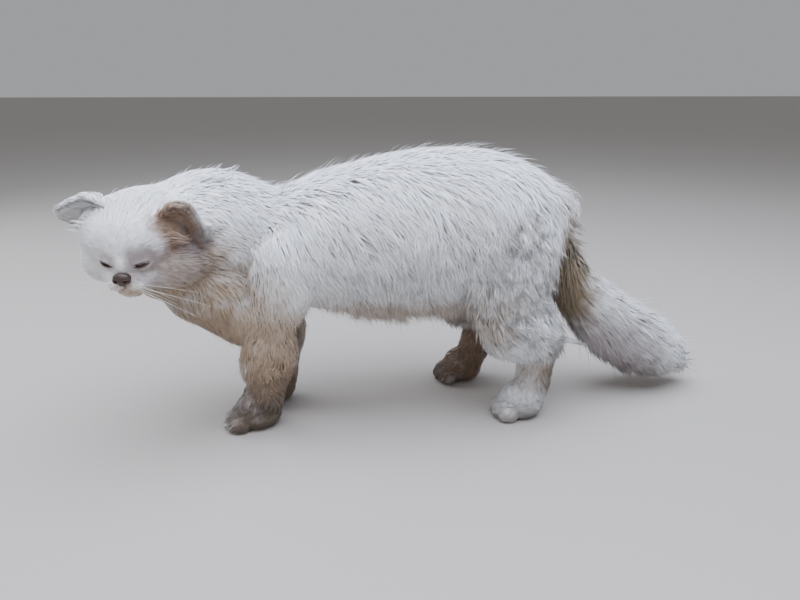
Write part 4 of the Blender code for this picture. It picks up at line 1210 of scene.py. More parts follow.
def coat_material(colours):
    """Long cat hair: white keratin with no pigment, each hair a clear scaly tube. It scatters light softly,
    so it looks matt white with a faint silky sheen. Its colour is darkened as painted shade down towards the
    roots and in patches between the locks, more deeply in wavy coat."""
    made = bpy.data.materials.get("cat_hair_white")
    if made:
        return made
    made, tree, shader = new_material("cat_hair_white")
    marks = add(tree, "ShaderNodeGroup", node_tree=coat_marks_and_shade(colours)).outputs[0]
    along = add(tree, "ShaderNodeAttribute", attribute_name="along").outputs["Fac"]
    tint = add(tree, "ShaderNodeAttribute", attribute_name="tint").outputs["Fac"]
    deep = add(tree, "ShaderNodeAttribute", attribute_name="shade").outputs["Fac"]
    # Painted shade, strongest at each tuft's root and gone three quarters of the way to its tip.
    root = add(
        tree, "ShaderNodeMapRange", {"Value": along, "From Max": 0.75, "To Min": 1.0, "To Max": 0.0}
    ).outputs[0]
    # Painted shade in patches between the locks, about 11 mm apart.
    place = add(tree, "ShaderNodeTexCoord").outputs["Object"]
    lock_shade_noise = add(tree, "ShaderNodeTexNoise", {"Vector": place, "Scale": 90.0, "Detail": 2.0}).outputs["Fac"]
    painted_lock_shade = add(
        tree, "ShaderNodeMapRange", {"Value": lock_shade_noise, "From Min": 0.42, "From Max": 0.66, "To Max": 0.8}
    ).outputs[0]
    # The painted shade, mottled a little from tuft to tuft, and as deep as each tuft's shade number.
    darker = add(tree, "ShaderNodeMath", {0: root, 1: painted_lock_shade}, operation="MAXIMUM").outputs[0]
    mottled = add(tree, "ShaderNodeMath", {0: tint, 1: 0.3, 2: darker}, operation="MULTIPLY_ADD").outputs[0]
    lost = add(tree, "ShaderNodeMath", {0: mottled, 1: deep}, operation="MULTIPLY").outputs[0]
    level = add(tree, "ShaderNodeMath", {0: 1.0, 1: lost}, operation="SUBTRACT").outputs[0]
    colour = add(tree, "ShaderNodeVectorMath", {0: marks, "Scale": level}, operation="SCALE").outputs[0]
    tree.links.new(colour, shader.inputs["Base Color"])
    shader.inputs["Roughness"].default_value = 0.62
    shader.inputs["IOR"].default_value = 1.55
    shader.inputs["Specular IOR Level"].default_value = 0.25
    shader.inputs["Sheen Weight"].default_value = 0.25
    shader.inputs["Sheen Roughness"].default_value = 0.45
    return made


def skin_material(colours):
    """Living skin under a white coat: pale and faintly pink, matt, finely creased. It is darker and moist
    along the lids and lips, brownish inside the ears, and takes the coat's marks, painted shade among them,
    where fur covers it."""
    made, tree, shader = new_material("cat_skin")
    marks = add(tree, "ShaderNodeGroup", node_tree=coat_marks_and_shade(colours)).outputs[0]
    place = add(tree, "ShaderNodeTexCoord").outputs["Object"]
    pale = add(
        tree, "ShaderNodeMix", {0: 0.15, 6: marks, 7: (*colours.skin, 1)}, data_type="RGBA"
    ).outputs[2]
    # Veins and blotches in the thin skin of the ears, about 6 mm apart.
    veins = add(tree, "ShaderNodeTexNoise", {"Vector": place, "Scale": 170.0, "Detail": 4.0}).outputs["Fac"]
    vein = add(tree, "ShaderNodeMapRange", {"Value": veins, "From Min": 0.3, "From Max": 0.7}).outputs[0]
    cup_colour = add(
        tree, "ShaderNodeMix",
        {0: vein, 6: (*colours.ear_skin, 1), 7: (*linear("#BE9C8C"), 1)}, data_type="RGBA",
    ).outputs[2]
    in_cup = add(tree, "ShaderNodeAttribute", attribute_name="in_cup").outputs["Fac"]
    cupped = add(tree, "ShaderNodeMix", {0: in_cup, 6: pale, 7: cup_colour}, data_type="RGBA").outputs[2]
    bare = add(tree, "ShaderNodeAttribute", attribute_name="bare").outputs["Fac"]
    coloured = add(
        tree, "ShaderNodeMix", {0: bare, 6: cupped, 7: (*colours.lid_skin, 1)}, data_type="RGBA"
    ).outputs[2]
    tree.links.new(coloured, shader.inputs["Base Color"])
    rough = add(tree, "ShaderNodeMapRange", {"Value": bare, "To Min": 0.75, "To Max": 0.42}).outputs[0]
    tree.links.new(rough, shader.inputs["Roughness"])
    # Fine creases of the skin, 0.8 mm apart.
    grain = add(tree, "ShaderNodeTexVoronoi", {"Vector": place, "Scale": 1250.0}).outputs["Distance"]
    bump = add(tree, "ShaderNodeBump", {"Strength": 0.25, "Distance": 0.0003, "Height": grain}).outputs[0]
    tree.links.new(bump, shader.inputs["Normal"])
    return made


class CAT_OT_skin(bpy.types.Operator):
    """Builds one skin for the whole cat, with its lids, lips and ears"""

    bl_idname = "cat.skin"
    bl_label = "Skin"

    def execute(self, context):
        shape = context.scene.cat_shape
        skin = body_flesh(shape)
        combined(skin, "UNION", head_flesh(shape))
        mesh = skin.data
        bpy.data.objects.remove(skin)
        mesh.name = "skin"
        mesh.materials.clear()
        hide = Hide(mesh, shape)
        # The mouth line is pressed 0.7 mm into the skin.
        groove = 0.0007 * (1 - smooth_step(hide.mouth, 0.0, 0.0012))
        move_points(mesh, hide.points - hide.normals * groove[:, None])
        put_attribute(mesh, "bare", hide.bare)
        put_attribute(mesh, "in_cup", hide.in_cup)
        placed("skin", mesh, skin_material(context.scene.cat_colours), FLESH_NODES)
        BUILT["hide"] = hide
        print("skin", len(hide.points), "points", len(hide.faces), "triangles")
        return {"FINISHED"}


def grow_coat(context, name, wanted, count, rings, seed, clumps, lift=1.0, wild=0.12, wide=1.0):
    """Grows tufts where wanted is set, each of as many rings as given and wide times the usual width. It
    draws them into locks, as (tufts to a lock, strength) in clumps, and makes their pieces."""
    hide, coat = BUILT["hide"], context.scene.cat_coat
    rng = np.random.default_rng(SEED + seed)
    wanted = wanted.astype(float)
    strands = Strands(hide, *hide.spots(count, rng, wanted), rng, rings, coat, wild, lift)
    strands.width *= wide
    for members, share in clumps:
        spots = hide.spots(count // members, rng, wanted)
        strands.gather(Strands(hide, *spots, rng, rings, coat, 0.22, lift), share * coat.clump_share)
    strands.wave(coat.curl_share)
    strands.stay_above(COAT_FLOOR)
    unwrap = hide.unwrap(strands.chosen, strands.weights)
    material = coat_material(context.scene.cat_colours)
    order = np.argsort(strands.root[:, 0])
    pieces = math.ceil(count * len(tuft_faces(rings)) / MOST_TRIANGLES)
    for number, mine in enumerate(np.array_split(order, pieces)):
        mesh = tuft_mesh(f"{name}_{number + 1}", strands, mine, unwrap, rng)
        placed(f"{name}_{number + 1}", mesh, material)
        print(mesh.name, len(mesh.polygons), "triangles")


class CAT_OT_smooth_coat(bpy.types.Operator):
    """Grows the smooth long coat of the back, neck and shoulders"""

    bl_idname = "cat.smooth_coat"
    bl_label = "Smooth Coat"

    def execute(self, context):
        hide = BUILT["hide"]
        wanted = (hide.length >= LONG_FROM) & (hide.curl < WAVY_FROM)
        count = context.scene.cat_coat.smooth_tufts
        clumps = ((8, 0.35), (50, 0.40))
        grow_coat(context, "smooth_coat", wanted, count, 3, 0, clumps, wild=0.17, wide=1.4)
        return {"FINISHED"}


class CAT_OT_wavy_coat(bpy.types.Operator):
    """Grows the long wavy coat of the flanks, belly, thighs and tail"""

    bl_idname = "cat.wavy_coat"
    bl_label = "Wavy Coat"

    def execute(self, context):
        hide = BUILT["hide"]
        wanted = (hide.length >= LONG_FROM) & (hide.curl >= WAVY_FROM)
        count = context.scene.cat_coat.wavy_tufts
        grow_coat(context, "wavy_coat", wanted, count, 4, 1, ((12, 0.95), (60, 0.45)))
        return {"FINISHED"}


class CAT_OT_undercoat(bpy.types.Operator):
    """Grows the broad soft tufts that fill the long coat from below"""

    bl_idname = "cat.undercoat"
    bl_label = "Undercoat"

    def execute(self, context):
        wanted = BUILT["hide"].length >= LONG_FROM
        count = context.scene.cat_coat.under_tufts
        clumps = ((8, 0.25),)
        grow_coat(context, "undercoat", wanted, count, 2, 4, clumps, lift=0.84, wild=0.22, wide=5.6)
        return {"FINISHED"}


class CAT_OT_short_fur(bpy.types.Operator):
    """Grows the short fur of the face, ears, lower legs and paws"""

    bl_idname = "cat.short_fur"
    bl_label = "Short Fur"

    def execute(self, context):
        wanted = BUILT["hide"].length < LONG_FROM
        count = context.scene.cat_coat.short_tufts
        grow_coat(context, "short_fur", wanted, count, 2, 2, ((6, 0.7), (30, 0.5)))
        return {"FINISHED"}


class Locks:
    """Tufts laid in locks, each given as (root, way, length, width, tufts, droop, curl). A lock starts from
    the skin nearest to its root, and its tufts draw together towards its tip."""

    def __init__(self, hide, locks, rng, steps, tuft_width):
        roots, paths, widths, self.curl = [], [], [], []
        for root, way, length, width, count, droop, curl in locks:
            middle = np.array(hide.tree.find_nearest(Vector(root))[0])
            way = unit(np.array(way, float))
            side = unit(np.cross(way, (0.2, 0.9, 0.4)))
            over = np.cross(side, way)
            reach = np.linspace(0, 1, steps + 1)
            angle = rng.random(count) * math.tau
            out = np.sqrt(rng.random(count)) * width / 2
            spread = side * (np.cos(angle) * out)[:, None] + over * (np.sin(angle) * out)[:, None]
            spots, _, _ = hide.nearest(middle + spread)
            long = length * rng.uniform(0.7, 1.0, count)[:, None, None]
            close = (1 - 0.85 * reach**0.8)[None, :, None]
            # A lock bends to and fro 0.8 times along its length.
            wave = np.sin(reach * math.tau * 0.8 + rng.random() * 2)
            bend = side[None, None] * (wave * curl * reach * length * 0.22)[None, :, None]
            path = middle + way * long * reach[None, :, None] + spread[:, None] * close + bend
            path = path + (spots - middle - spread)[:, None] * (1 - reach)[None, :, None]
            path[..., 2] -= droop * length * reach[None] ** 2
            roots.append(spots)
            paths.append(path)
            widths.append(min(tuft_width, width / 6) * rng.uniform(0.7, 1.1, count))
            self.curl.append(np.full(count, curl))
        self.root, self.path = np.vstack(roots), np.vstack(paths)
        self.width, self.curl = np.concatenate(widths), np.concatenate(self.curl)
        self.path[:, 0] = self.root
        self.path[:, 1:, 2] = np.maximum(self.path[:, 1:, 2], LOCK_FLOOR)
        found = [hide.tree.find_nearest(spot) for spot in self.root.tolist()]
        self.chosen = np.array([item[2] for item in found])
        self.weights = np.full((len(found), 3), 1 / 3)
        self.normal = unit(hide.blend(hide.normals, self.chosen, self.weights))
        self.own = np.full(len(found), 0.7)


def standing_locks():
    """The locks that stand out at nape, rump, hocks, the tail's end and the feet of the ears."""
    locks = []
    # Nape: three rows of three.
    for i in range(9):
        across = (i % 3 - 1) * 0.022
        spot = (-0.185 + 0.013 * (i // 3), across - 0.012, 0.262)
        locks.append((spot, (0.75, across * 6, 0.50), 0.034, 0.012, 26, 0.10, 0.5))
    # Rump: three rows of four.
    for i in range(12):
        across = (i % 4 - 1.5) * 0.020
        spot = (0.192, across, 0.232 - 0.012 * (i // 4))
        locks.append((spot, (0.80, across * 7, -0.35), 0.040, 0.012, 26, 0.15, 0.6))
    # Hocks: two behind each.
    hind_right = HIND_PAW_CENTRE[1] + RIGHT_HIND_SPREAD
    for x, y in ((0.186, -0.049), (0.186 + RIGHT_HIND_STRIDE * 0.8, hind_right)):
        locks.append(((x, y, 0.090), (0.97, 0, -0.10), 0.045, 0.015, 90, 0.12, 0.1))
        locks.append(((x - 0.004, y, 0.100), (0.80, 0, -0.45), 0.028, 0.014, 40, 0.10, 0.3))
    # The tail's end: three rows of four, which fan out and down.
    for i in range(12):
        across, high = (i % 4 - 1.5) * 0.010, 0.024 + 0.011 * (i // 4)
        way = (0.75 - 0.18 * (i // 4 - 1), across * 10, -0.62 + 0.16 * (i // 4))
        locks.append(((0.352, across, high), way, 0.036, 0.016, 24, 0.08, 0.3))
    # Thin strands that cross the foot of the left ear, and three at the right one.
    for i in range(5):
        spot = head_spot(0.026 + 0.002 * i, -0.020, 0.010 + 0.0035 * i)
        locks.append((spot, head_way(0.90, 0.05, 0.30 - 0.12 * i), 0.024, 0.0040, 7, 0.10, 0.5))
    for i in range(3):
        spot = head_spot(-0.042, -0.018, 0.020 + 0.006 * i)
        locks.append((spot, head_way(-0.9, -0.15, 0.10), 0.015, 0.0050, 12, 0.0, 0.6))
    return locks


def parted_locks(hide, rng, spacing):
    """Wavy locks that part from the coat of flanks and thighs, no two closer than the spacing. The hems
    and the belly have none."""
    wanted = (hide.curl > 1.05) & (hide.length > 0.03) & (np.abs(hide.normals[:, 2]) < 0.5)
    wanted &= hide.points[:, 2] > HEM_HEIGHT
    chosen, weights = hide.spots(2600, rng, wanted.astype(float))
    spots = hide.blend(hide.points, chosen, weights)
    normals = unit(hide.blend(hide.normals, chosen, weights))
    lies = unit(hide.blend(hide.lie, chosen, weights))
    kept, locks = [], []
    for spot, normal, lie in zip(spots, normals, lies):
        if any(np.linalg.norm(spot - other) < spacing for other in kept):
            continue
        kept.append(spot)
        side = np.cross(normal, lie) * rng.normal(0, 0.40)
        length, width = rng.uniform(0.028, 0.042), rng.uniform(0.008, 0.014)
        way = tuple(lie + normal * rng.uniform(0.30, 0.44) + side)
        droop, curl = rng.uniform(0.05, 0.20), rng.uniform(0.3, 0.75)
        locks.append((tuple(spot), way, length, width, 18, droop, curl))
    return locks


class CAT_OT_standing_locks(bpy.types.Operator):
    """Lays the locks that stand out at nape, rump, hocks, tail and ears, and on flanks and thighs"""

    bl_idname = "cat.standing_locks"
    bl_label = "Standing Locks"

    def execute(self, context):
        hide = BUILT["hide"]
        rng = np.random.default_rng(SEED + 5)
        locks = standing_locks() + parted_locks(hide, rng, LOCK_SPACING)
        locks = Locks(hide, locks, rng, 4, context.scene.cat_coat.tuft_width * 0.8)
        unwrap = hide.unwrap(locks.chosen, locks.weights)
        mesh = tuft_mesh("standing_locks", locks, np.arange(len(locks.root)), unwrap, rng)
        placed("standing_locks", mesh, coat_material(context.scene.cat_colours))
        print(mesh.name, len(mesh.polygons), "triangles")
        return {"FINISHED"}


class CAT_OT_stray_hairs(bpy.types.Operator):
    """Grows the fine hairs that stand out of the coat"""

    bl_idname = "cat.stray_hairs"
    bl_label = "Stray Hairs"

    def execute(self, context):
        wanted = BUILT["hide"].length >= LONG_FROM
        count = context.scene.cat_coat.stray_hairs
        clumps = ((4, 0.5),)
        grow_coat(context, "stray_hairs", wanted, count, 3, 3, clumps, lift=1.45, wild=0.3, wide=0.5)
        return {"FINISHED"}


class CAT_OT_eyes(bpy.types.Operator):
    """Builds both eyes behind their lids"""

    bl_idname = "cat.eyes"
    bl_label = "Eyes"

    def execute(self, context):
        material = self.material(context.scene.cat_colours)
        for side, name in ((1, "left_eye"), (-1, "right_eye")):
            bm = bmesh.new()
            bmesh.ops.create_uvsphere(bm, u_segments=48, v_segments=32, radius=EYE_RADIUS)
            for vert in bm.verts:
                # The clear front of the eye bulges by 3.5 %, out to the full radius.
                front = max(0.0, -vert.co.y / EYE_RADIUS - 0.72) / 0.28
                vert.co *= 1 + 0.035 * math.sin(front * math.pi / 2) ** 2 - 0.035
            for face in bm.faces:
                face.smooth = True
            mesh = bpy.data.meshes.new(name + "_ball")
            bm.to_mesh(mesh)
            bm.free()
            made = linked(name + "_ball", mesh)
            made.matrix_world = Matrix.Translation(SHIFT) @ eye_place(side)
            mesh.materials.append(material)
            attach(made, "root")
            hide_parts(name)
        return {"FINISHED"}

    def material(self, colours):
        """A cat's eye: a wet clear cornea over a copper iris with an upright slit of a pupil. The tear film
        gives it a sharp highlight, and the iris darkens to its rim. The copper is laid on almost
        black-brown, as painted shade under the narrowed lids."""
        made, tree, shader = new_material("wet_eye")
        place = add(tree, "ShaderNodeTexCoord").outputs["Object"]
        axes = add(tree, "ShaderNodeSeparateXYZ", {0: place})
        flat = add(tree, "ShaderNodeCombineXYZ", {"X": axes.outputs["X"], "Z": axes.outputs["Z"]}).outputs[0]
        radius = add(tree, "ShaderNodeVectorMath", {0: flat}, operation="LENGTH").outputs["Value"]
        narrow = add(
            tree, "ShaderNodeVectorMath", {0: flat, 1: (2.6, 1.0, 0.75)}, operation="MULTIPLY"
        ).outputs[0]
        slit = add(tree, "ShaderNodeVectorMath", {0: narrow}, operation="LENGTH").outputs["Value"]
        # Mottled fibres of the iris, drawn about 1 mm across so that they show.
        speckle = add(tree, "ShaderNodeTexNoise", {"Vector": flat, "Scale": 900.0, "Detail": 3.0})
        fibre = add(
            tree, "ShaderNodeMapRange",
            {"Value": speckle.outputs["Fac"], "To Min": 0.55, "To Max": 1.25},
        ).outputs[0]
        base = add(tree, "ShaderNodeRGB").outputs[0]
        base.default_value = (*colours.iris, 1)
        iris = add(tree, "ShaderNodeVectorMath", {0: base, "Scale": fibre}, operation="SCALE").outputs[0]
        rim = add(
            tree, "ShaderNodeMapRange", {"Value": radius, "From Min": 0.0052, "From Max": 0.0070}
        ).outputs[0]
        rimmed = add(
            tree, "ShaderNodeMix", {0: rim, 6: iris, 7: (*linear("#2A1B12"), 1)}, data_type="RGBA"
        ).outputs[2]
        white = add(
            tree, "ShaderNodeMapRange", {"Value": radius, "From Min": 0.0071, "From Max": 0.0077}
        ).outputs[0]
        outer = add(
            tree, "ShaderNodeMix", {0: white, 6: rimmed, 7: (*linear("#8E7A74"), 1)}, data_type="RGBA"
        ).outputs[2]
        pupil = add(
            tree, "ShaderNodeMapRange", {"Value": slit, "From Min": 0.0036, "From Max": 0.0040}
        ).outputs[0]
        colour = add(
            tree, "ShaderNodeMix", {0: pupil, 6: (0.004, 0.004, 0.005, 1), 7: outer}, data_type="RGBA"
        ).outputs[2]
        tree.links.new(colour, shader.inputs["Base Color"])
        shader.inputs["Roughness"].default_value = 0.12
        shader.inputs["IOR"].default_value = 1.38
        shader.inputs["Coat Weight"].default_value = 0.8
        shader.inputs["Coat Roughness"].default_value = 0.03
        return made


class CAT_OT_nose(bpy.types.Operator):
    """Builds the nose leather with its nostrils"""

    bl_idname = "cat.nose"
    bl_label = "Nose"

    def execute(self, context):
        x, y, z = NOSE_CENTRE
        wide, deep, high = NOSE_HALF
        bm = bmesh.new()
        top = ((x, y, z + high * 0.25), (wide, deep, high * 0.75))
        middle = ((x, y - 0.0006, z - high * 0.3), (wide * 0.5, deep, high * 0.7))
        wing = ((wide * 0.55, y - 0.0004, z - high * 0.1), (wide * 0.5, deep * 0.9, high * 0.55))
        root = ((x, y + 0.004, z), (wide * 0.9, deep, high * 0.8))
        add_head_forms(bm, [top, middle, *both_sides([wing]), root])
        nose = melted(bm, "nose", 0.0004, 3)
        place = head_matrix()
        for side in (1, -1):
            bm = bmesh.new()
            spot = place @ Vector((side * wide * 0.50, y - deep * 0.95, z - high * 0.08))
            tilt = place.to_3x3() @ Matrix.Rotation(side * 0.5, 3, "Y")
            add_ellipsoid(bm, spot, (0.0021, 0.0024, 0.0011), tilt)
            spot = place @ Vector((side * wide * 0.80, y - deep * 0.70, z + high * 0.02))
            add_ellipsoid(bm, spot, (0.0018, 0.0018, 0.0006), tilt)
            combined(nose, "DIFFERENCE", melted(bm, "nostril", 0.0003, 2))
        mesh = nose.data
        bpy.data.objects.remove(nose)
        # A groove 1 mm wide and 0.6 mm deep runs down the middle.
        points = points_of(mesh)
        local = transformed(points, place.inverted())
        groove = np.exp(-((local[:, 0] / 0.0005) ** 2)) * (local[:, 2] < z + 0.001) * (local[:, 1] < y)
        move_points(mesh, points + np.array(head_way(0, 1, 0)) * (groove * 0.0006)[:, None])
        mesh.materials.clear()
        leather = self.material(context.scene.cat_colours)
        placed("nose_leather", mesh, leather, ("nose",))
        return {"FINISHED"}

    def material(self, colours):
        """Nose leather: hairless skin in small raised pebbles, kept moist, so it shines softly. It is dark
        brown along its upper edge and pink-brown below."""
        made, tree, shader = new_material("nose_leather")
        place = add(tree, "ShaderNodeTexCoord").outputs["Object"]
        height = add(tree, "ShaderNodeSeparateXYZ", {0: place}).outputs["Z"]
        # The brown and the pink meet along a ragged edge, in blotches 3 mm across.
        blotch = add(tree, "ShaderNodeTexNoise", {"Vector": place, "Scale": 350.0, "Detail": 3.0})
        ragged = add(
            tree, "ShaderNodeMath", {0: blotch.outputs["Fac"], 1: 0.004, 2: height},
            operation="MULTIPLY_ADD",
        ).outputs[0]
        middle = head_spot(*NOSE_CENTRE)[2]
        share = add(
            tree, "ShaderNodeMapRange",
            {"Value": ragged, "From Min": middle - 0.0025, "From Max": middle + 0.0030},
        ).outputs[0]
        colour = add(
            tree, "ShaderNodeMix", {0: share, 6: (*colours.nose_leather, 1), 7: (*colours.nose_top, 1)},
            data_type="RGBA",
        ).outputs[2]
        tree.links.new(colour, shader.inputs["Base Color"])
        # Raised pebbles of the leather, 0.4 mm across.
        pebbles = add(tree, "ShaderNodeTexVoronoi", {"Vector": place, "Scale": 2500.0}).outputs["Distance"]
        bump = add(tree, "ShaderNodeBump", {"Strength": 0.5, "Distance": 0.0002, "Height": pebbles})
        tree.links.new(bump.outputs[0], shader.inputs["Normal"])
        shader.inputs["Roughness"].default_value = 0.48
        shader.inputs["Coat Weight"].default_value = 0.15
        shader.inputs["Coat Roughness"].default_value = 0.2
        return made


def tube_points(path, radii, sides):
    """Rings round a path, each as rows of points."""
    along = unit(np.gradient(path, axis=0))
    side = unit(np.cross(along, (0.13, 0.31, 0.94)))
    up = np.cross(side, along)
    angles = np.arange(sides) / sides * math.tau
    spokes = side[:, None] * np.cos(angles)[None, :, None] + up[:, None] * np.sin(angles)[None, :, None]
    return path[:, None] + spokes * radii[:, None, None]


def tapered_tubes(paths, root_radius, tip_share, sides=6):
    """Points and triangles of closed tubes that taper to their tips."""
    points, faces, start = [], [], 0
    for path in paths:
        steps = len(path)
        radii = root_radius * (1 - np.linspace(0, 1, steps) ** 1.2 * (1 - tip_share))
        rings = tube_points(path, radii, sides).reshape(-1, 3)
        points.append(np.vstack([rings, path[:1], path[-1:]]))
        last = start + (steps - 1) * sides
        base, end = last + sides, last + sides + 1
        for ring in range(start, last, sides):
            for i in range(sides):
                a, b = ring + i, ring + (i + 1) % sides
                faces += [(a, b, b + sides), (a, b + sides, a + sides)]
        for i in range(sides):
            after = (i + 1) % sides
            faces += [(base, start + after, start + i), (end, last + i, last + after)]
        start += steps * sides + 2
    return np.vstack(points), np.array(faces)


class CAT_OT_whiskers(bpy.types.Operator):
    """Sets the whiskers in the pads of the muzzle and over the eyes"""

    bl_idname = "cat.whiskers"
    bl_label = "Whiskers"

    def execute(self, context):
        longest = context.scene.cat_shape.whisker_length
        rng = np.random.default_rng(SEED + 2)
        hide, place = BUILT["hide"], head_matrix()
        paths = []
        for side in (1, -1):
            # Three rows of two in each pad.
            for i in range(6):
                row, column = i // 2, i % 2
                spot = (side * (0.009 + 0.0035 * column), -0.05, -0.0135 - 0.0032 * row)
                length = longest * (0.65 + 0.35 * column) * rng.uniform(0.8, 1.0)
                ahead = -0.10 + rng.normal(0, 0.08)
                up = -0.10 - 0.10 * row + rng.normal(0, 0.08)
                paths.append(self.path(hide, place, spot, Vector((side, ahead, up)), length, 0.012))
            # Three over each eye.
            for i in range(3):
                spot = (side * (0.012 + 0.004 * i), -0.040, 0.0155)
                way = Vector((side * (0.3 + 0.2 * i), -0.55, 0.8))
                paths.append(self.path(hide, place, spot, way, longest * 0.42, 0.006))
        mesh = mesh_from("whiskers", *tapered_tubes(paths, 0.00017, 0.25))
        placed("whiskers", mesh, self.material())
        return {"FINISHED"}

    def path(self, hide, place, spot, way, length, sag):
        """A whisker from the skin nearest to a spot, swept back and drooping a little."""
        start = np.array(hide.tree.find_nearest(place @ Vector(spot))[0])
        ahead = np.array(place.to_3x3() @ way.normalized())
        back = np.array(place.to_3x3() @ Vector((0, 1, 0)))
        steps = np.linspace(-0.02, 1, 12)[:, None]
        return start + ahead * length * steps + back * length * 0.28 * steps**2 - (0, 0, sag) * steps**2

    def material(self):
        """Whisker: a thick stiff hair of clear white keratin, smooth and glossy."""
        made, tree, shader = new_material("whisker_keratin")
        place = add(tree, "ShaderNodeTexCoord").outputs["Object"]
        # Faint bands along the hair, about 4 mm apart.
        bands = add(tree, "ShaderNodeTexNoise", {"Vector": place, "Scale": 250.0}).outputs["Fac"]
        colour = add(
            tree, "ShaderNodeMix",
            {0: bands, 6: (*linear("#F4F1EA"), 1), 7: (*linear("#D9D3C8"), 1)}, data_type="RGBA",
        ).outputs[2]
        tree.links.new(colour, shader.inputs["Base Color"])
        shader.inputs["Roughness"].default_value = 0.3
        return made


class CAT_OT_claws(bpy.types.Operator):
    """Sets the tip of a claw in the fur of each toe"""

    bl_idname = "cat.claws"
    bl_label = "Claws"

    def execute(self, context):
        length = context.scene.cat_shape.claw_length
        paths = []
        for _, _, spot in legs():
            for toe, spread in toes(spot):
                bend = np.linspace(0, 1, 9)
                forward = TOE_RADIUS * 0.62 + length * 0.95 * np.sin(bend * 1.2)
                drop = length * (1 - np.cos(bend * 1.2)) * 0.8
                x = toe.x - forward * math.cos(spread * 1.1)
                y = toe.y + forward * math.sin(spread * 1.1)
                paths.append(np.stack([x, y, toe.z + 0.0018 - drop], axis=1))
        mesh = mesh_from("claws", *tapered_tubes(paths, 0.00115, 0.12, 10))
        placed("claws", mesh, self.material())
        return {"FINISHED"}

    def material(self):
        """Claw horn: hard keratin in thin layers, part clear, glossy, mottled pink-grey."""
        made, tree, shader = new_material("claw_horn")
        place = add(tree, "ShaderNodeTexCoord").outputs["Object"]
        # Layers of horn about 1 mm apart.
        layers = add(tree, "ShaderNodeTexNoise", {"Vector": place, "Scale": 1000.0, "Detail": 2.0})
        colour = add(
            tree, "ShaderNodeMix",
            {0: layers.outputs["Fac"], 6: (*linear("#CDB9A8"), 1), 7: (*linear("#9C8478"), 1)},
            data_type="RGBA",
        ).outputs[2]
        tree.links.new(colour, shader.inputs["Base Color"])
        shader.inputs["Roughness"].default_value = 0.32
        return made


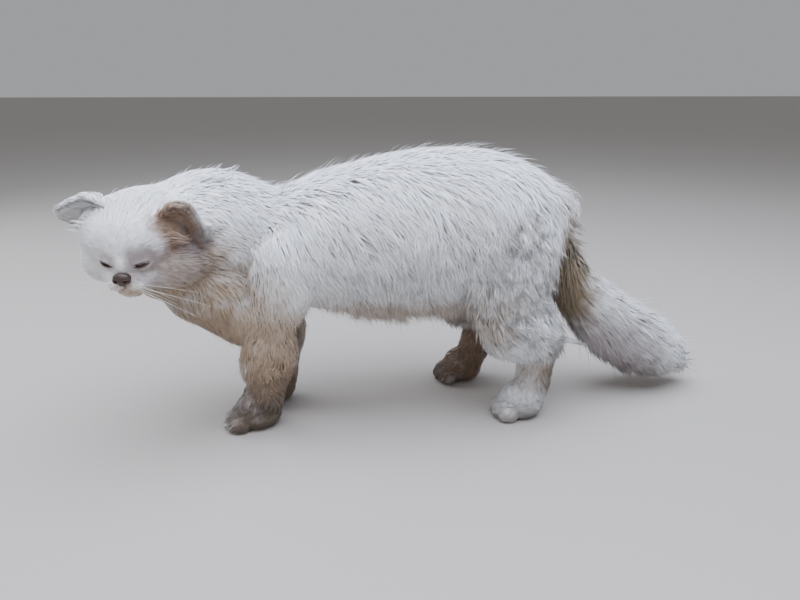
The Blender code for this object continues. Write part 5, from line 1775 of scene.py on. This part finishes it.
class CAT_OT_stage(bpy.types.Operator):
    """Sets up the pale floor, the soft lights and the camera"""

    bl_idname = "cat.stage"
    bl_label = "Studio"

    def execute(self, context):
        self.floor(context)
        self.lights(context)
        self.camera(context)
        return {"FINISHED"}

    def floor(self, context):
        """Painted studio floor: smooth matt paint, with only a faint unevenness in its tone."""
        bm = bmesh.new()
        bmesh.ops.create_grid(bm, x_segments=2, y_segments=2, size=30)
        mesh = bpy.data.meshes.new("studio_floor")
        bm.to_mesh(mesh)
        bm.free()
        floor = linked("studio_floor", mesh)
        floor.location.z = -0.0004
        made, tree, shader = new_material("matt_floor_paint")
        place = add(tree, "ShaderNodeTexCoord").outputs["Object"]
        uneven = add(tree, "ShaderNodeTexNoise", {"Vector": place, "Scale": 1.5, "Detail": 2.0})
        spread = {"Value": uneven.outputs["Fac"], "To Min": 0.96, "To Max": 1.03}
        share = add(tree, "ShaderNodeMapRange", spread).outputs[0]
        base = add(tree, "ShaderNodeRGB").outputs[0]
        base.default_value = (*context.scene.cat_colours.floor, 1)
        colour = add(tree, "ShaderNodeVectorMath", {0: base, "Scale": share}, operation="SCALE").outputs[0]
        tree.links.new(colour, shader.inputs["Base Color"])
        shader.inputs["Roughness"].default_value = 0.8
        mesh.materials.append(made)

    def lights(self, context):
        """An even pale room, with one large lamp overhead and two weak ones to fill the shade."""
        world = bpy.data.worlds.new("studio")
        context.scene.world = world
        world.use_nodes = True
        background = world.node_tree.nodes["Background"]
        background.inputs["Color"].default_value = (*linear("#DCDDE0"), 1)
        background.inputs["Strength"].default_value = 0.54
        lamps = (
            ("overhead", (0.05, -0.25, 1.6), 2.0, 72.0, "#E6EEFF"),
            ("front_fill", (-0.7, -1.6, 0.9), 1.2, 6.0, "#FFF3E6"),
            ("far_fill", (-1.3, 0.7, 0.9), 1.0, 12.0, "#F2F5FF"),
        )
        for name, spot, size, power, code in lamps:
            lamp = bpy.data.lights.new(name, "AREA")
            lamp.shape, lamp.size, lamp.energy = "DISK", size, power
            lamp.color = linear(code)
            made = linked(name, lamp)
            made.location = spot
            aim = LAMP_TARGET - Vector(spot)
            made.rotation_euler = aim.to_track_quat("-Z", "Y").to_euler()

    def camera(self, context):
        """The photograph's viewpoint, looking 18 degrees down."""
        lens = bpy.data.cameras.new("photo_camera")
        lens.sensor_width = 36
        lens.lens = lens.sensor_width * FOCAL_SHARE
        lens.clip_start = 0.02
        made = linked("photo_camera", lens)
        made.location = Vector(CAMERA_SPOT) + SHIFT
        made.rotation_euler = (math.radians(90 - CAMERA_DOWN), 0, math.radians(CAMERA_TURN))
        context.scene.camera = made


class CAT_PT_panel(bpy.types.Panel):
    """Lists the cat's sizes, colours and the pieces to build"""

    bl_label = "Long-Haired Cat"
    bl_idname = "CAT_PT_panel"
    bl_space_type = "VIEW_3D"
    bl_region_type = "UI"
    bl_category = "Cat"

    def draw(self, context):
        for operator in OPERATORS:
            self.layout.operator(operator.bl_idname)
        for settings in (context.scene.cat_shape, context.scene.cat_coat, context.scene.cat_colours):
            box = self.layout.box()
            for name in settings.__annotations__:
                box.prop(settings, name)


SETTINGS = (CatShape, CatCoat, CatColours)
OPERATORS = (
    CAT_OT_skin,
    CAT_OT_smooth_coat,
    CAT_OT_wavy_coat,
    CAT_OT_undercoat,
    CAT_OT_short_fur,
    CAT_OT_standing_locks,
    CAT_OT_stray_hairs,
    CAT_OT_eyes,
    CAT_OT_nose,
    CAT_OT_whiskers,
    CAT_OT_claws,
    CAT_OT_stage,
)


def register():
    for item in (*SETTINGS, *OPERATORS, CAT_PT_panel):
        bpy.utils.register_class(item)
    bpy.types.Scene.cat_shape = PointerProperty(type=CatShape)
    bpy.types.Scene.cat_coat = PointerProperty(type=CatCoat)
    bpy.types.Scene.cat_colours = PointerProperty(type=CatColours)


def unregister():
    for name in ("cat_shape", "cat_coat", "cat_colours"):
        delattr(bpy.types.Scene, name)
    for item in reversed((*SETTINGS, *OPERATORS, CAT_PT_panel)):
        bpy.utils.unregister_class(item)


def main():
    register()
    bpy.ops.cat.skin()
    bpy.ops.cat.smooth_coat()
    bpy.ops.cat.wavy_coat()
    bpy.ops.cat.undercoat()
    bpy.ops.cat.short_fur()
    bpy.ops.cat.standing_locks()
    bpy.ops.cat.stray_hairs()
    bpy.ops.cat.eyes()
    bpy.ops.cat.nose()
    bpy.ops.cat.whiskers()
    bpy.ops.cat.claws()
    bpy.ops.cat.stage()


if __name__ == "__main__":
    main()
